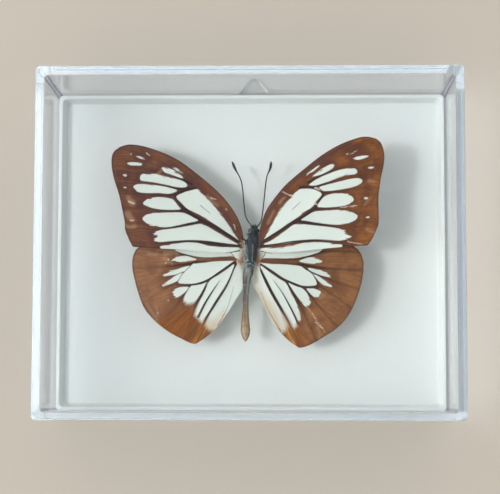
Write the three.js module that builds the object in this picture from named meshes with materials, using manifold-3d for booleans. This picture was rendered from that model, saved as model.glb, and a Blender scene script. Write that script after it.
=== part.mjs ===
// A butterfly set in a clear plastic display case that lies on its back.
// The white tray stands on z = 0, the clear cover stands on the tray's flange, the insect's head
// points along +Y, and a wire hanger ring sticks out past the case at that end. The pieces are laid
// out about the middle of the case, and the whole is then centred over the origin with its ring.
// Lengths are in millimetres.
import * as THREE from 'three';
import Module from 'manifold-3d';
import { ParametricGeometry } from 'three/addons/geometries/ParametricGeometry.js';
import { mergeVertices } from 'three/addons/utils/BufferGeometryUtils.js';

// Driving dimensions.
const CASE = { width: 115, length: 95, height: 32, wall: 2, corner: 1.2 };
const GAP = 0.3; // between pieces that touch
const FLANGE = 2.6; // thickness of the tray's outer flange
const RIM_TOP = 8; // top of the tray's raised rim
const TRAY_FLOOR = 4.7; // surface that the insect floats over
const TRAY_CEILING = 2.55; // underside of the tray's floor
const RIM_WIDTH = 1; // flat top of the rim
const RIM_DRAFT = 0.75; // how far the rim's inner face leans in
const UNDERSIDE = { width: 106, length: 86 }; // hollow under the tray

const HANGER = { x: 0.85, barY: 41.8, z: 1.15, halfBar: 9.2, apexY: 54.4, wire: 0.5, bend: 3.2 };
const STRAP = { width: 8, sheet: 0.3, backY: 32.5, curlEnd: -195 };
const RIVET = { y: 36.4, head: 2.2, headThickness: 0.45, shank: 1.1, top: 3.5 };
const CHANNEL = { halfWidth: 10, top: 2.1 }; // under the flange, for the ring

const FOAM = { side: 5, height: 4.4, y: -1 };
const PIN = { radius: 0.3, z0: 6.3, z1: 12.4 };

const HEAD = { at: [0.95, 5.15, 12.9], radii: [1.3, 1.25, 1.4] };
const EYE = { radius: 0.62, spread: 1.05, forward: 0.15, z: 12.6 };
const WING_THICKNESS = 0.4;
const CAMBER = 0.4; // how far the middle of a wing bulges upwards

const COLOURS = {
  clear: 0xe8f2f6,
  white: 0xe9efec,
  steel: 0xb9bdbd,
  brown: 0x6b402a,
  tawny: 0x84593c,
  body: 0x3a3f48,
  abdomen: 0x7c6752,
  black: 0x26262a,
  foam: 0xf2f4f2,
};

const wasm = await Module();
wasm.setup();

const object = new THREE.Group();
object.name = 'mounted_butterfly';

function material(colour, roughness, metalness = 0, opacity = 1) {
  return new THREE.MeshStandardMaterial({
    color: COLOURS[colour], roughness, metalness, opacity, transparent: opacity < 1,
  });
}

function add(name, geometry, finish) {
  const mesh = new THREE.Mesh(geometry, finish);
  mesh.name = name;
  object.add(mesh);
  return mesh;
}

// Joining and cutting.

function toSolid(geometry) {
  const bare = geometry.clone();
  bare.deleteAttribute('normal');
  bare.deleteAttribute('uv');
  const merged = mergeVertices(bare, 1e-4);
  return new wasm.Manifold(new wasm.Mesh({
    numProp: 3,
    vertProperties: new Float32Array(merged.attributes.position.array),
    triVerts: new Uint32Array(merged.index.array),
  }));
}

function toGeometry(solid) {
  const mesh = solid.getMesh();
  const geometry = new THREE.BufferGeometry();
  geometry.setAttribute('position', new THREE.BufferAttribute(mesh.vertProperties, 3));
  geometry.setIndex(new THREE.BufferAttribute(mesh.triVerts, 1));
  return geometry;
}

function cut(geometry, ...tools) {
  let solid = toSolid(geometry);
  for (const tool of tools) {
    solid = solid.subtract(toSolid(tool));
  }
  return toGeometry(solid);
}

function join(...geometries) {
  let solid = toSolid(geometries[0]);
  for (const geometry of geometries.slice(1)) {
    solid = solid.add(toSolid(geometry));
  }
  return toGeometry(solid);
}

// Basic shapes.

// A block with rounded upright corners, from z0 to z1, which narrows by lean at its lower end.
function roundedBlock(width, length, z0, z1, corner, lean = 0) {
  const w = width / 2 - corner;
  const l = length / 2 - corner;
  const outline = new THREE.Shape();
  outline.absarc(w, l, corner, 0, Math.PI / 2);
  outline.absarc(-w, l, corner, Math.PI / 2, Math.PI);
  outline.absarc(-w, -l, corner, Math.PI, 1.5 * Math.PI);
  outline.absarc(w, -l, corner, 1.5 * Math.PI, 2 * Math.PI);
  const block = new THREE.ExtrudeGeometry(outline, {
    depth: z1 - z0, bevelEnabled: false, curveSegments: 4,
  });
  const at = block.attributes.position;
  for (let i = 0; i < at.count; i += 1) {
    if (at.getZ(i) < 1e-6) {
      at.setX(i, at.getX(i) * (1 - 2 * lean / width));
      at.setY(i, at.getY(i) * (1 - 2 * lean / length));
    }
  }
  return block.translate(0, 0, z0);
}

function box(x0, x1, y0, y1, z0, z1) {
  const block = new THREE.BoxGeometry(x1 - x0, y1 - y0, z1 - z0);
  return block.translate((x0 + x1) / 2, (y0 + y1) / 2, (z0 + z1) / 2);
}

function uprightCylinder(radius, x, y, z0, z1, sides = 20) {
  const cylinder = new THREE.CylinderGeometry(radius, radius, z1 - z0, sides);
  return cylinder.rotateX(Math.PI / 2).translate(x, y, (z0 + z1) / 2);
}

function ball(radii, at, around = 14, along = 10) {
  const sphere = new THREE.SphereGeometry(1, around, along);
  return sphere.scale(...radii).translate(...at);
}

// A round skin along a path. radiusAt gives its radius from 0, the start, to 1, the end, and a
// closed path makes a ring.
function tube(path, radiusAt, around, along, closed = false) {
  const frames = path.computeFrenetFrames(along, closed);
  const place = (u, v, target) => {
    const step = closed ? Math.round(v * along) % along : Math.round(v * along);
    const angle = 2 * Math.PI * (Math.round(u * around) % around) / around;
    const radius = radiusAt(step / along);
    target.copy(path.getPointAt(step / along));
    target.addScaledVector(frames.normals[step], radius * Math.cos(angle));
    target.addScaledVector(frames.binormals[step], radius * Math.sin(angle));
  };
  return new ParametricGeometry(place, around, along);
}

function smooth(points) {
  return new THREE.CatmullRomCurve3(points.map((p) => new THREE.Vector3(...p)));
}

// Radius of a body part: round at both ends, through the given values along its length.
function roundEnded(values) {
  const profile = new THREE.SplineCurve(
    values.map((value, i) => new THREE.Vector2(i / (values.length - 1), value)),
  );
  return (t) => {
    const end = Math.min(1, Math.min(t, 1 - t) / 0.12);
    return profile.getPoint(t).y * Math.sqrt(Math.max(0, 1 - (1 - end) ** 2));
  };
}

// Case.

const boxInside = { width: CASE.width - 2 * CASE.wall, length: CASE.length - 2 * CASE.wall };
const coverFoot = FLANGE + GAP;

function makeCover() {
  const outside = roundedBlock(CASE.width, CASE.length, coverFoot, CASE.height, CASE.corner);
  const inside = roundedBlock(
    boxInside.width, boxInside.length, coverFoot - 1, CASE.height - CASE.wall, CASE.corner,
  );
  return cut(outside, inside);
}

function makeTray() {
  const plug = { width: boxInside.width - 2 * GAP, length: boxInside.length - 2 * GAP };
  const flange = roundedBlock(CASE.width, CASE.length, 0, FLANGE, CASE.corner);
  const body = roundedBlock(plug.width, plug.length, FLANGE / 2, RIM_TOP, CASE.corner);
  const lean = RIM_DRAFT * (RIM_TOP + 1 - TRAY_FLOOR) / (RIM_TOP - TRAY_FLOOR);
  const widen = 2 * (lean - RIM_DRAFT);
  const display = roundedBlock(
    plug.width - 2 * RIM_WIDTH + widen, plug.length - 2 * RIM_WIDTH + widen,
    TRAY_FLOOR, RIM_TOP + 1, CASE.corner, lean,
  );
  const hollow = roundedBlock(UNDERSIDE.width, UNDERSIDE.length, -1, TRAY_CEILING, CASE.corner);
  const channel = box(
    HANGER.x - CHANNEL.halfWidth, HANGER.x + CHANNEL.halfWidth,
    UNDERSIDE.length / 2 - 1, CASE.length / 2 + 1, -1, CHANNEL.top,
  );
  const rivetHole = uprightCylinder(
    RIVET.shank + GAP, HANGER.x, RIVET.y, TRAY_CEILING - 1, RIVET.top + GAP,
  );
  return cut(join(flange, body), display, hollow, channel, rivetHole);
}

// Hanger: a triangular wire ring that swings in the curled end of a riveted strap.

function makeRing() {
  const corners = [
    new THREE.Vector3(HANGER.x + HANGER.halfBar, HANGER.barY, HANGER.z),
    new THREE.Vector3(HANGER.x, HANGER.apexY, HANGER.z),
    new THREE.Vector3(HANGER.x - HANGER.halfBar, HANGER.barY, HANGER.z),
  ];
  const outline = new THREE.CurvePath();
  corners.forEach((corner, i) => {
    const before = corners[(i + 2) % 3].clone().sub(corner).setLength(HANGER.bend);
    const after = corners[(i + 1) % 3].clone().sub(corner).setLength(HANGER.bend);
    const far = corners[(i + 1) % 3].clone().addScaledVector(after, -1);
    const start = corner.clone().add(before);
    const end = corner.clone().add(after);
    outline.add(new THREE.QuadraticBezierCurve3(start, corner, end));
    outline.add(new THREE.LineCurve3(end, far));
  });
  return tube(outline, () => HANGER.wire, 8, 60, true);
}

function makeStrap() {
  const outer = HANGER.wire + GAP + STRAP.sheet;
  const inner = HANGER.wire + GAP;
  const curlEnd = THREE.MathUtils.degToRad(STRAP.curlEnd);
  const profile = new THREE.Shape();
  profile.moveTo(STRAP.backY, HANGER.z + outer);
  profile.lineTo(HANGER.barY, HANGER.z + outer);
  profile.absarc(HANGER.barY, HANGER.z, outer, Math.PI / 2, curlEnd, true);
  profile.absarc(HANGER.barY, HANGER.z, inner, curlEnd, Math.PI / 2, false);
  profile.lineTo(STRAP.backY, HANGER.z + inner);
  const strip = new THREE.ExtrudeGeometry(profile, {
    depth: STRAP.width, bevelEnabled: false, curveSegments: 16,
  });
  strip.rotateY(Math.PI / 2).rotateX(Math.PI / 2);
  strip.translate(HANGER.x - STRAP.width / 2, 0, 0);
  return cut(strip, uprightCylinder(RIVET.shank + GAP, HANGER.x, RIVET.y, 0, TRAY_CEILING));
}

function makeRivet() {
  const headTop = HANGER.z + HANGER.wire;
  const headFoot = headTop - RIVET.headThickness;
  const profile = [
    new THREE.Vector2(0, headFoot),
    new THREE.Vector2(RIVET.head * 0.7, headFoot),
    new THREE.Vector2(RIVET.head, headTop - 0.15),
    new THREE.Vector2(RIVET.head, headTop),
    new THREE.Vector2(RIVET.shank, headTop),
    new THREE.Vector2(RIVET.shank, RIVET.top),
    new THREE.Vector2(0, RIVET.top),
  ];
  const rivet = new THREE.LatheGeometry(profile, 20);
  return rivet.rotateX(Math.PI / 2).translate(HANGER.x, RIVET.y, 0);
}

// What holds the insect up: a foam block on the tray and a headless pin into the thorax.

function pinHole(z0, z1) {
  return uprightCylinder(PIN.radius + GAP, 0, FOAM.y, z0, z1, 12);
}

function makeFoam() {
  const foot = TRAY_FLOOR + GAP;
  const half = FOAM.side / 2;
  const block = box(-half, half, FOAM.y - half, FOAM.y + half, foot, foot + FOAM.height);
  return cut(block, pinHole(PIN.z0 - GAP, PIN.z1));
}

function makePin() {
  return uprightCylinder(PIN.radius, 0, FOAM.y, PIN.z0, PIN.z1, 10);
}

// Insect.

function eyeCentre(side) {
  return [HEAD.at[0] + side * EYE.spread, HEAD.at[1] + EYE.forward, EYE.z];
}

function makeHead() {
  const socket = EYE.radius + GAP;
  const sockets = [-1, 1].map((side) => ball([socket, socket, socket], eyeCentre(side)));
  return cut(ball(HEAD.radii, HEAD.at, 16, 12), ...sockets);
}

function makeThorax() {
  const path = smooth([[0.8, 3.6, 12.8], [0.3, 1, 13], [-0.1, -2, 12.9], [-0.35, -5.4, 12.7]]);
  const shape = tube(path, roundEnded([1.45, 1.85, 1.9, 1.75, 1.3]), 16, 14);
  return cut(shape, pinHole(PIN.z0, PIN.z1 + GAP));
}

function makeAbdomen() {
  const path = smooth([
    [-0.5, -5.75, 12.7], [-1.05, -9, 12.7], [-1.25, -14, 12.6], [-1.4, -20, 12.7],
    [-1.3, -25.9, 12.8],
  ]);
  return tube(path, roundEnded([1.3, 0.95, 0.75, 0.72, 0.8, 1, 1.12, 0.8]), 12, 18);
}

// Radius of a feeler: a thin shaft that swells into a club at its tip.
function feelerRadius(t) {
  const club = THREE.MathUtils.smoothstep(t, 0.82, 0.93);
  const tip = Math.sqrt(Math.min(1, (1 - t) / 0.05));
  const start = Math.min(1, t / 0.03);
  return (0.19 + 0.13 * club) * tip * start;
}

const FEELERS = {
  left: [
    [0.25, 6.65, 13.2], [-0.9, 8.3, 12.9], [-1.5, 10, 12.7], [-1.85, 13, 12.4], [-2.3, 17.5, 12],
    [-2.85, 20.1, 11.8], [-4.3, 22.9, 11.7], [-5.3, 25.2, 11.7],
  ],
  right: [
    [2, 6.5, 13], [2.95, 7.9, 12.6], [3.35, 10, 12.5], [3.8, 14, 12.3], [4.2, 18, 12.1],
    [4.65, 21, 11.9], [5.55, 23.2, 11.8], [5.8, 25.2, 11.7],
  ],
};

function makeLeg(side, foot) {
  const path = smooth([
    [side * 1.1, foot.hip, 10.9], [side * 2.3, foot.hip + foot.knee, 10.3],
    [side * 3.1, foot.hip + 0.6 * foot.knee, 9.9], [side * 2.9, foot.hip + foot.toe, 9.7],
    [side * 2.4, foot.hip + 1.6 * foot.toe, 9.6],
  ]);
  return tube(path, roundEnded([0.2, 0.22, 0.18, 0.14, 0.1]), 6, 12);
}

const LEGS = {
  front: { hip: 2.3, knee: 1.2, toe: 2.2 },
  middle: { hip: 0.6, knee: 0.6, toe: -1.6 },
  hind: { hip: -1.6, knee: -0.4, toe: -2.2 },
};

// Wings. Each is a patch between four edges: the front edge (costa) and the rear edge run from
// the body outwards, the outer margin joins their far ends, and the root joins their near ends.
// The outlines are seen from above; a wing lifts or droops along x from its root.
const WINGS = {
  forewing_left: {
    colour: 'brown', rootZ: 13.3, rise: 0.05,
    costa: [
      [-1.9, 3.2], [-2.6, 6.4], [-4, 9.6], [-6.5, 13.3], [-10, 17], [-15, 21.2], [-20, 24.9],
      [-25, 27.3], [-30, 28.9], [-34, 29.4], [-36.6, 28.7],
    ],
    margin: [
      [-38.2, 27.4], [-38.9, 25.5], [-38.8, 22.5], [-38, 19], [-36.7, 15], [-35.6, 10],
      [-35, 7], [-35, 5.5], [-34, 2.8],
    ],
    rear: [[-2.3, 0.2], [-4.5, -0.5], [-7.5, -1.05], [-12, -0.85], [-20, -0.2], [-27, 0.1], [-32.8, 0.5]],
  },
  forewing_right: {
    colour: 'brown', rootZ: 13.3, rise: 0.16,
    costa: [
      [2.3, 3], [2.8, 6.2], [4.2, 10.3], [6.2, 13.5], [10, 18], [15, 22.2], [20, 26], [25, 28.8],
      [30, 30.5], [32.5, 30.7], [34.8, 30.1],
    ],
    margin: [
      [36.2, 28.7], [37, 26], [36.9, 23], [36, 18.5], [35.4, 14], [35.4, 10], [35.4, 6.6],
      [34.6, 4.2], [33.6, 2.1],
    ],
    rear: [[2.4, 0], [4.6, -0.8], [7.5, -1.1], [12, -1], [20, -0.3], [27, 0.2], [32.4, 0.4]],
  },
  hindwing_left: {
    colour: 'tawny', rootZ: 12.55, rise: -0.04,
    costa: [[-2.3, -0.5], [-5, 0.3], [-10, 0.9], [-18, 1.5], [-26, 1.7], [-30.5, 1.2], [-32.3, 0.2]],
    margin: [
      [-33.2, -2], [-33.3, -5], [-32.7, -8], [-31.5, -12.3], [-29.7, -16.6], [-26.5, -20.3],
      [-22.6, -23.3], [-18.6, -25.4], [-16.6, -26.3],
    ],
    rear: [
      [-2.2, -4.6], [-2.5, -8.5], [-3.6, -11.7], [-5.2, -14.8], [-6.8, -18], [-9, -21.5],
      [-12, -24.3], [-15.2, -26.5],
    ],
  },
  hindwing_right: {
    colour: 'tawny', rootZ: 12.55, rise: 0.02,
    costa: [[2.3, -0.5], [5, 0.3], [10, 0.9], [17, 1.4], [24, 1.6], [28, 1.2], [30.1, 0]],
    margin: [
      [31.4, -2.5], [31.6, -5.5], [31, -9.5], [29.4, -14.5], [27.2, -18.8], [24.3, -22],
      [20.6, -24.5], [17, -26.6], [15, -27.4],
    ],
    rear: [
      [1.9, -4.6], [1.75, -9], [2.7, -13.5], [4.3, -16.9], [6.2, -20.5], [8.7, -23.6],
      [11.4, -26.1], [13.6, -27.6],
    ],
  },
};

function flatCurve(points) {
  return new THREE.SplineCurve(points.map((p) => new THREE.Vector2(...p)));
}

// Point of the patch: s runs from the rear edge to the front edge, t from the root outwards.
function patch(wing) {
  const costa = flatCurve(wing.costa);
  const rear = flatCurve(wing.rear);
  const margin = flatCurve([wing.costa.at(-1), ...wing.margin, wing.rear.at(-1)]);
  const inside = [rear.getPointAt(0), rear.getPointAt(1), costa.getPointAt(0), costa.getPointAt(1)];
  return (s, t) => {
    const point = new THREE.Vector2();
    point.addScaledVector(rear.getPointAt(t), 1 - s).addScaledVector(costa.getPointAt(t), s);
    point.addScaledVector(margin.getPointAt(1 - s), t);
    point.addScaledVector(inside[1], -(1 - s) * t).addScaledVector(inside[3], -s * t);
    return point;
  };
}

function makeWing(wing, across = 16, along = 14) {
  const at = patch(wing);
  const isRight = wing.costa[0][0] > 0; // the right wings' patches are mirror images
  const place = (u, v, target) => {
    const step = Math.round((isRight ? 1 - u : u) * 2 * across);
    const over = step < across || step === 2 * across;
    const s = step === 2 * across ? 0 : (over ? step : 2 * across - step) / across;
    const t = Math.round(v * along) / along;
    const point = at(s, t);
    const inner = 16 * s * (1 - s) * t * (1 - t);
    const half = inner > 1e-9 ? 0.5 * WING_THICKNESS * inner ** 0.2 : 0;
    const bulge = CAMBER * 4 * s * (1 - s) * Math.min(1, 3 * t);
    const level = wing.rootZ + wing.rise * Math.abs(point.x) + bulge;
    target.set(point.x, point.y, level + (over ? half : -half));
  };
  return new ParametricGeometry(place, 2 * across, along);
}

// Assembly.

add('cover', makeCover(), material('clear', 0.05, 0, 0.25));
add('tray', makeTray(), material('white', 0.35));
add('hanger_strap', makeStrap(), material('steel', 0.35, 1));
add('hanger_rivet', makeRivet(), material('steel', 0.35, 1));
add('hanger_ring', makeRing(), material('steel', 0.25, 1));
add('foam_block', makeFoam(), material('foam', 0.9));
add('pin', makePin(), material('steel', 0.3, 1));
add('head', makeHead(), material('body', 0.9));
add('thorax', makeThorax(), material('body', 0.95));
add('abdomen', makeAbdomen(), material('abdomen', 0.85));

for (const [name, side] of [['left', -1], ['right', 1]]) {
  const eye = [EYE.radius, EYE.radius, EYE.radius];
  add(`eye_${name}`, ball(eye, eyeCentre(side), 12, 8), material('black', 0.3));
  add(`feeler_${name}`, tube(smooth(FEELERS[name]), feelerRadius, 8, 30), material('black', 0.6));
  for (const [pair, foot] of Object.entries(LEGS)) {
    add(`leg_${pair}_${name}`, makeLeg(side, foot), material('black', 0.8));
  }
}

for (const [name, wing] of Object.entries(WINGS)) {
  add(name, makeWing(wing), material(wing.colour, 0.8));
}

const middle = new THREE.Box3().setFromObject(object).getCenter(new THREE.Vector3());
object.position.set(-middle.x, -middle.y, 0);

export default object;
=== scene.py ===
import math

import bmesh
import bpy
import numpy as np
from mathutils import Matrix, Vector


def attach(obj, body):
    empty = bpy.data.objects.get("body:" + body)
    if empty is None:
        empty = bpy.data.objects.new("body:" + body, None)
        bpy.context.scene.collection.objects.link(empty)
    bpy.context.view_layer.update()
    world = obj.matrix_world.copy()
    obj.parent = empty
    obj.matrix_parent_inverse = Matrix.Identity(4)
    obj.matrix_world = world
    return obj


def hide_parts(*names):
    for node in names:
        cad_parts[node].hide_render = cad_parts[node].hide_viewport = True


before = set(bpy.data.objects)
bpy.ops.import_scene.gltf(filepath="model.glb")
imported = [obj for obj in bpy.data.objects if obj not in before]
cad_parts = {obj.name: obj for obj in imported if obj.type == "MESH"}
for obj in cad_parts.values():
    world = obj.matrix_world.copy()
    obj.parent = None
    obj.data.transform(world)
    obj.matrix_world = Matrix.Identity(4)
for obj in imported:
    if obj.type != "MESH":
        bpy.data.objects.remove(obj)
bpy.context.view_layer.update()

# A mounted butterfly in a clear display case. Lengths are given in millimetres about the middle of
# the case, and place() turns them into the frame's metres.
MM = 0.001
PER_MM = 1 / MM  # turns a pattern's scale per millimetre into one per metre
CASE_Y = -3.0459  # the case's middle in the frame, where the ring's far end counts too

CASE_WIDTH = 115.0
CASE_LENGTH = 95.0
CASE_TOP = 32.0
WALL = 2.0
CORNER = 1.2
COVER_FOOT = 2.9
FLANGE_TOP = 2.6
RIM_TOP = 8.0
RIM_WIDTH = 1.0
RIM_DRAFT = 0.75  # how far the rim's inner side leans in from its top to the floor
TRAY_FLOOR = 4.7
TRAY_UNDER = 2.55  # ceiling of the hollow underside
UNDER_SIZE = (106, 86)
GAP = 0.3  # between the cover and the tray's raised rim
HANGER_X = 0.85
CHANNEL = {"half_width": 10, "front": 42, "back": 49, "top": 2.1}  # way out for the ring
CREASE = math.radians(35)  # sharper bends between faces count as edges


def place(x, y, z):
    return Vector((x, y + CASE_Y, z)) * MM


# Handling pieces.


def nothing_selected():
    if bpy.context.object and bpy.context.object.mode != "OBJECT":
        bpy.ops.object.mode_set(mode="OBJECT")
    bpy.ops.object.select_all(action="DESELECT")


def work_on(piece):
    nothing_selected()
    piece.select_set(True)
    bpy.context.view_layer.objects.active = piece


def named_at_origin(name):
    """The primitive just added, named, with its place put into its mesh."""
    bpy.ops.object.transform_apply(location=True, rotation=True, scale=True)
    piece = bpy.context.object
    piece.name = name
    piece.data.name = name
    return piece


def edit(piece):
    work_on(piece)
    bpy.ops.object.mode_set(mode="EDIT")
    bpy.ops.mesh.select_all(action="DESELECT")


def leave():
    bpy.ops.object.mode_set(mode="OBJECT")


def in_case(point):
    return point.x / MM, point.y / MM - CASE_Y, point.z / MM


def pick_faces(wanted):
    """Selects the faces for which wanted(x, y, z, normal) holds, by their middles."""
    bpy.ops.mesh.select_mode(type="FACE")
    bpy.ops.mesh.select_all(action="DESELECT")
    mesh = bmesh.from_edit_mesh(bpy.context.object.data)
    mesh.normal_update()
    for face in mesh.faces:
        if wanted(*in_case(face.calc_center_median()), face.normal):
            face.select_set(True)
    bmesh.update_edit_mesh(bpy.context.object.data)


def pick_edges(wanted):
    """Selects the creased edges for which wanted(x, y, z, direction) holds, by their middles."""
    bpy.ops.mesh.select_mode(type="EDGE")
    bpy.ops.mesh.select_all(action="DESELECT")
    mesh = bmesh.from_edit_mesh(bpy.context.object.data)
    for edge in mesh.edges:
        a, b = (corner.co for corner in edge.verts)
        creased = edge.calc_face_angle(0.0) > CREASE
        if creased and wanted(*in_case((a + b) / 2), (b - a).normalized()):
            edge.select_set(True)
    bmesh.update_edit_mesh(bpy.context.object.data)


def facing_up(x, y, z, normal):
    return normal.z > 0.9


def facing_down(x, y, z, normal):
    return normal.z < -0.9


def upright(x, y, z, direction):
    return abs(direction.z) > 0.8


def every(x, y, z, direction):
    return True


def block(name, low, high):
    nothing_selected()
    low, high = place(*low), place(*high)
    bpy.ops.mesh.primitive_cube_add(size=1, location=(low + high) / 2, scale=high - low)
    return named_at_origin(name)


def extrude(x=0.0, y=0.0, z=0.0):
    bpy.ops.mesh.extrude_region_move(TRANSFORM_OT_translate={"value": (x * MM, y * MM, z * MM)})


def inset(width):
    bpy.ops.mesh.inset(thickness=width * MM, use_even_offset=True)


def round_off(width, segments):
    bpy.ops.mesh.bevel(offset=width * MM, segments=segments, affect="EDGES", clamp_overlap=True)


def face_outwards():
    bpy.ops.mesh.select_mode(type="VERT")
    bpy.ops.mesh.select_all(action="SELECT")
    bpy.ops.mesh.remove_doubles(threshold=0.0005 * MM)
    bpy.ops.mesh.normals_make_consistent(inside=False)
    if bmesh.from_edit_mesh(bpy.context.object.data).calc_volume(signed=True) < 0:
        bpy.ops.mesh.flip_normals()


def smooth_faces(piece, degrees=40):
    work_on(piece)
    bpy.ops.object.shade_smooth_by_angle(angle=math.radians(degrees))


def smooth_between_flats(piece, degrees=40):
    """Smooth rounded edges, while the wide faces between them stay true."""
    smooth_faces(piece, degrees)
    flats = piece.modifiers.new("flats", "WEIGHTED_NORMAL")
    flats.weight = 100
    flats.keep_sharp = True
    bpy.ops.object.modifier_apply(modifier=flats.name)


def combine(piece, other, operation):
    """Adds the other's shape to the piece (UNION) or takes it out of it (DIFFERENCE)."""
    work_on(piece)
    step = piece.modifiers.new("step", "BOOLEAN")
    step.operation = operation
    step.object = other
    step.solver = "EXACT"
    bpy.ops.object.modifier_apply(modifier=step.name)
    bpy.data.objects.remove(other)


def subdivide_smoothly(piece, levels):
    work_on(piece)
    skin = piece.modifiers.new("skin", "SUBSURF")
    skin.levels = levels
    skin.render_levels = levels
    bpy.ops.object.modifier_apply(modifier=skin.name)


def finish_piece(piece, material, slot_name, *nodes, body="case"):
    """Gives the piece its material and body, and hides the CAD nodes that it stands for. slot_name
    is not used.
    """
    piece.data.materials.clear()
    piece.data.materials.append(material)
    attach(piece, body)
    if nodes:
        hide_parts(*nodes)


# Materials.


class Nodes:
    """Short ways to lay out a material's or a group's nodes."""

    def __init__(self, tree):
        self.tree = tree

    def add(self, kind, **settings):
        node = self.tree.nodes.new(kind)
        for name, value in settings.items():
            setattr(node, name, value)
        return node

    def feed(self, socket, value):
        if isinstance(value, bpy.types.NodeSocket):
            self.tree.links.new(value, socket)
        elif value is not None:
            socket.default_value = value

    def maths(self, operation, a, b=None, c=None, clamp=False):
        node = self.add("ShaderNodeMath", operation=operation, use_clamp=clamp)
        for socket, value in zip(node.inputs, (a, b, c)):
            self.feed(socket, value)
        return node.outputs[0]

    def ramp(self, value, low, high, to_low=0.0, to_high=1.0):
        """value, smoothly taken from low..high to to_low..to_high and held outside that."""
        node = self.add("ShaderNodeMapRange", interpolation_type="SMOOTHSTEP")
        for socket, given in zip(node.inputs, (value, low, high, to_low, to_high)):
            self.feed(socket, given)
        return node.outputs[0]

    def blend(self, share, first, second):
        """The first colour at share 0 and the second at share 1."""
        node = self.add("ShaderNodeMix", data_type="RGBA")
        self.feed(node.inputs[0], share)
        self.feed(node.inputs[6], first)
        self.feed(node.inputs[7], second)
        return node.outputs[2]

    def sway(self, pattern, amount, about=0.0):
        """A pattern of 0..1 as a swing of plus or minus half the amount about a value."""
        return self.maths("MULTIPLY_ADD", self.maths("SUBTRACT", pattern, 0.5), amount, about)

    def number(self, name):
        """A value that the mesh keeps at its corners."""
        return self.add("ShaderNodeAttribute", attribute_name=name).outputs["Fac"]

    def coordinates(self):
        return self.add("ShaderNodeTexCoord").outputs["Object"]

    def stretch(self, vector, scale):
        node = self.add("ShaderNodeMapping")
        self.feed(node.inputs["Vector"], vector)
        node.inputs["Scale"].default_value = scale
        return node.outputs[0]

    def noise(self, vector, scale, detail=3.0, roughness=0.5):
        node = self.add("ShaderNodeTexNoise")
        self.feed(node.inputs["Vector"], vector)
        node.inputs["Scale"].default_value = scale
        node.inputs["Detail"].default_value = detail
        node.inputs["Roughness"].default_value = roughness
        return node.outputs["Fac"]

    def bump(self, height, distance, strength=1.0):
        node = self.add("ShaderNodeBump")
        node.inputs["Strength"].default_value = strength
        node.inputs["Distance"].default_value = distance
        self.feed(node.inputs["Height"], height)
        return node.outputs[0]

    def dress(self, shader, colour, roughness, height, depth, strength):
        self.feed(shader.inputs["Base Color"], colour)
        self.feed(shader.inputs["Roughness"], roughness)
        self.feed(shader.inputs["Normal"], self.bump(height, depth, strength))


def new_material(name):
    """A material, its nodes, and its Principled shader."""
    material = bpy.data.materials.new(name)
    material.use_nodes = True
    shader = next(n for n in material.node_tree.nodes if n.type == "BSDF_PRINCIPLED")
    return material, Nodes(material.node_tree), shader


def srgb(red, green, blue):
    """A paint given as 0..255 display values, as the linear colour that shaders take."""
    def linear(value):
        value /= 255
        return value / 12.92 if value <= 0.04045 else ((value + 0.055) / 1.055) ** 2.4
    return (linear(red), linear(green), linear(blue), 1.0)


def darker(colour, share):
    return (*(share * part for part in colour[:3]), 1.0)


def let_lamps_through(nodes, shader, share):
    """The lamps' rays pass a thin sheet, tinted by share, and everything else meets the shader."""
    passing = nodes.add("ShaderNodeBsdfTransparent")
    nodes.feed(passing.inputs["Color"], share)
    which = nodes.add("ShaderNodeLightPath")
    mix = nodes.add("ShaderNodeMixShader")
    nodes.feed(mix.inputs[0], which.outputs["Is Shadow Ray"])
    nodes.feed(mix.inputs[1], shader.outputs[0])
    nodes.feed(mix.inputs[2], passing.outputs[0])
    output = next(node for node in nodes.tree.nodes if node.type == "OUTPUT_MATERIAL")
    nodes.feed(output.inputs["Surface"], mix.outputs[0])


def clear_plastic():
    material, nodes, shader = new_material("clear_plastic")
    height = nodes.add("ShaderNodeSeparateXYZ")
    nodes.feed(height.inputs[0], nodes.coordinates())
    face = nodes.ramp(height.outputs[2], 29.2 * MM, 29.9 * MM)
    tint = nodes.blend(face, srgb(238, 242, 250), srgb(247, 249, 250))
    nodes.feed(shader.inputs["Base Color"], tint)
    shader.inputs["Roughness"].default_value = 0.015
    shader.inputs["IOR"].default_value = 1.49
    shader.inputs["Transmission Weight"].default_value = 1.0
    # Painted glow: once a ray has been thrown about inside the walls, they give off a little light
    # of their own, so their edges aren't black.
    thrown = nodes.add("ShaderNodeLightPath").outputs["Glossy Depth"]
    glow = nodes.blend(nodes.ramp(thrown, 1.4, 1.6), (0, 0, 0, 1), srgb(62, 65, 72))
    nodes.feed(shader.inputs["Emission Color"], glow)
    shader.inputs["Emission Strength"].default_value = 1.0
    let_lamps_through(nodes, shader, (0.93, 0.94, 0.95, 1.0))
    return material


def white_plastic():
    material, nodes, shader = new_material("white_plastic")
    where = nodes.coordinates()
    cloud = nodes.noise(where, 0.03 * PER_MM, 2)
    colour = nodes.blend(cloud, srgb(232, 238, 236), srgb(238, 241, 236))
    mould = nodes.noise(where, 1.4 * PER_MM, 3)
    nodes.dress(shader, colour, nodes.ramp(mould, 0.3, 0.7, 0.3, 0.38), mould, 0.01 * MM, 0.5)
    return material


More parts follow.
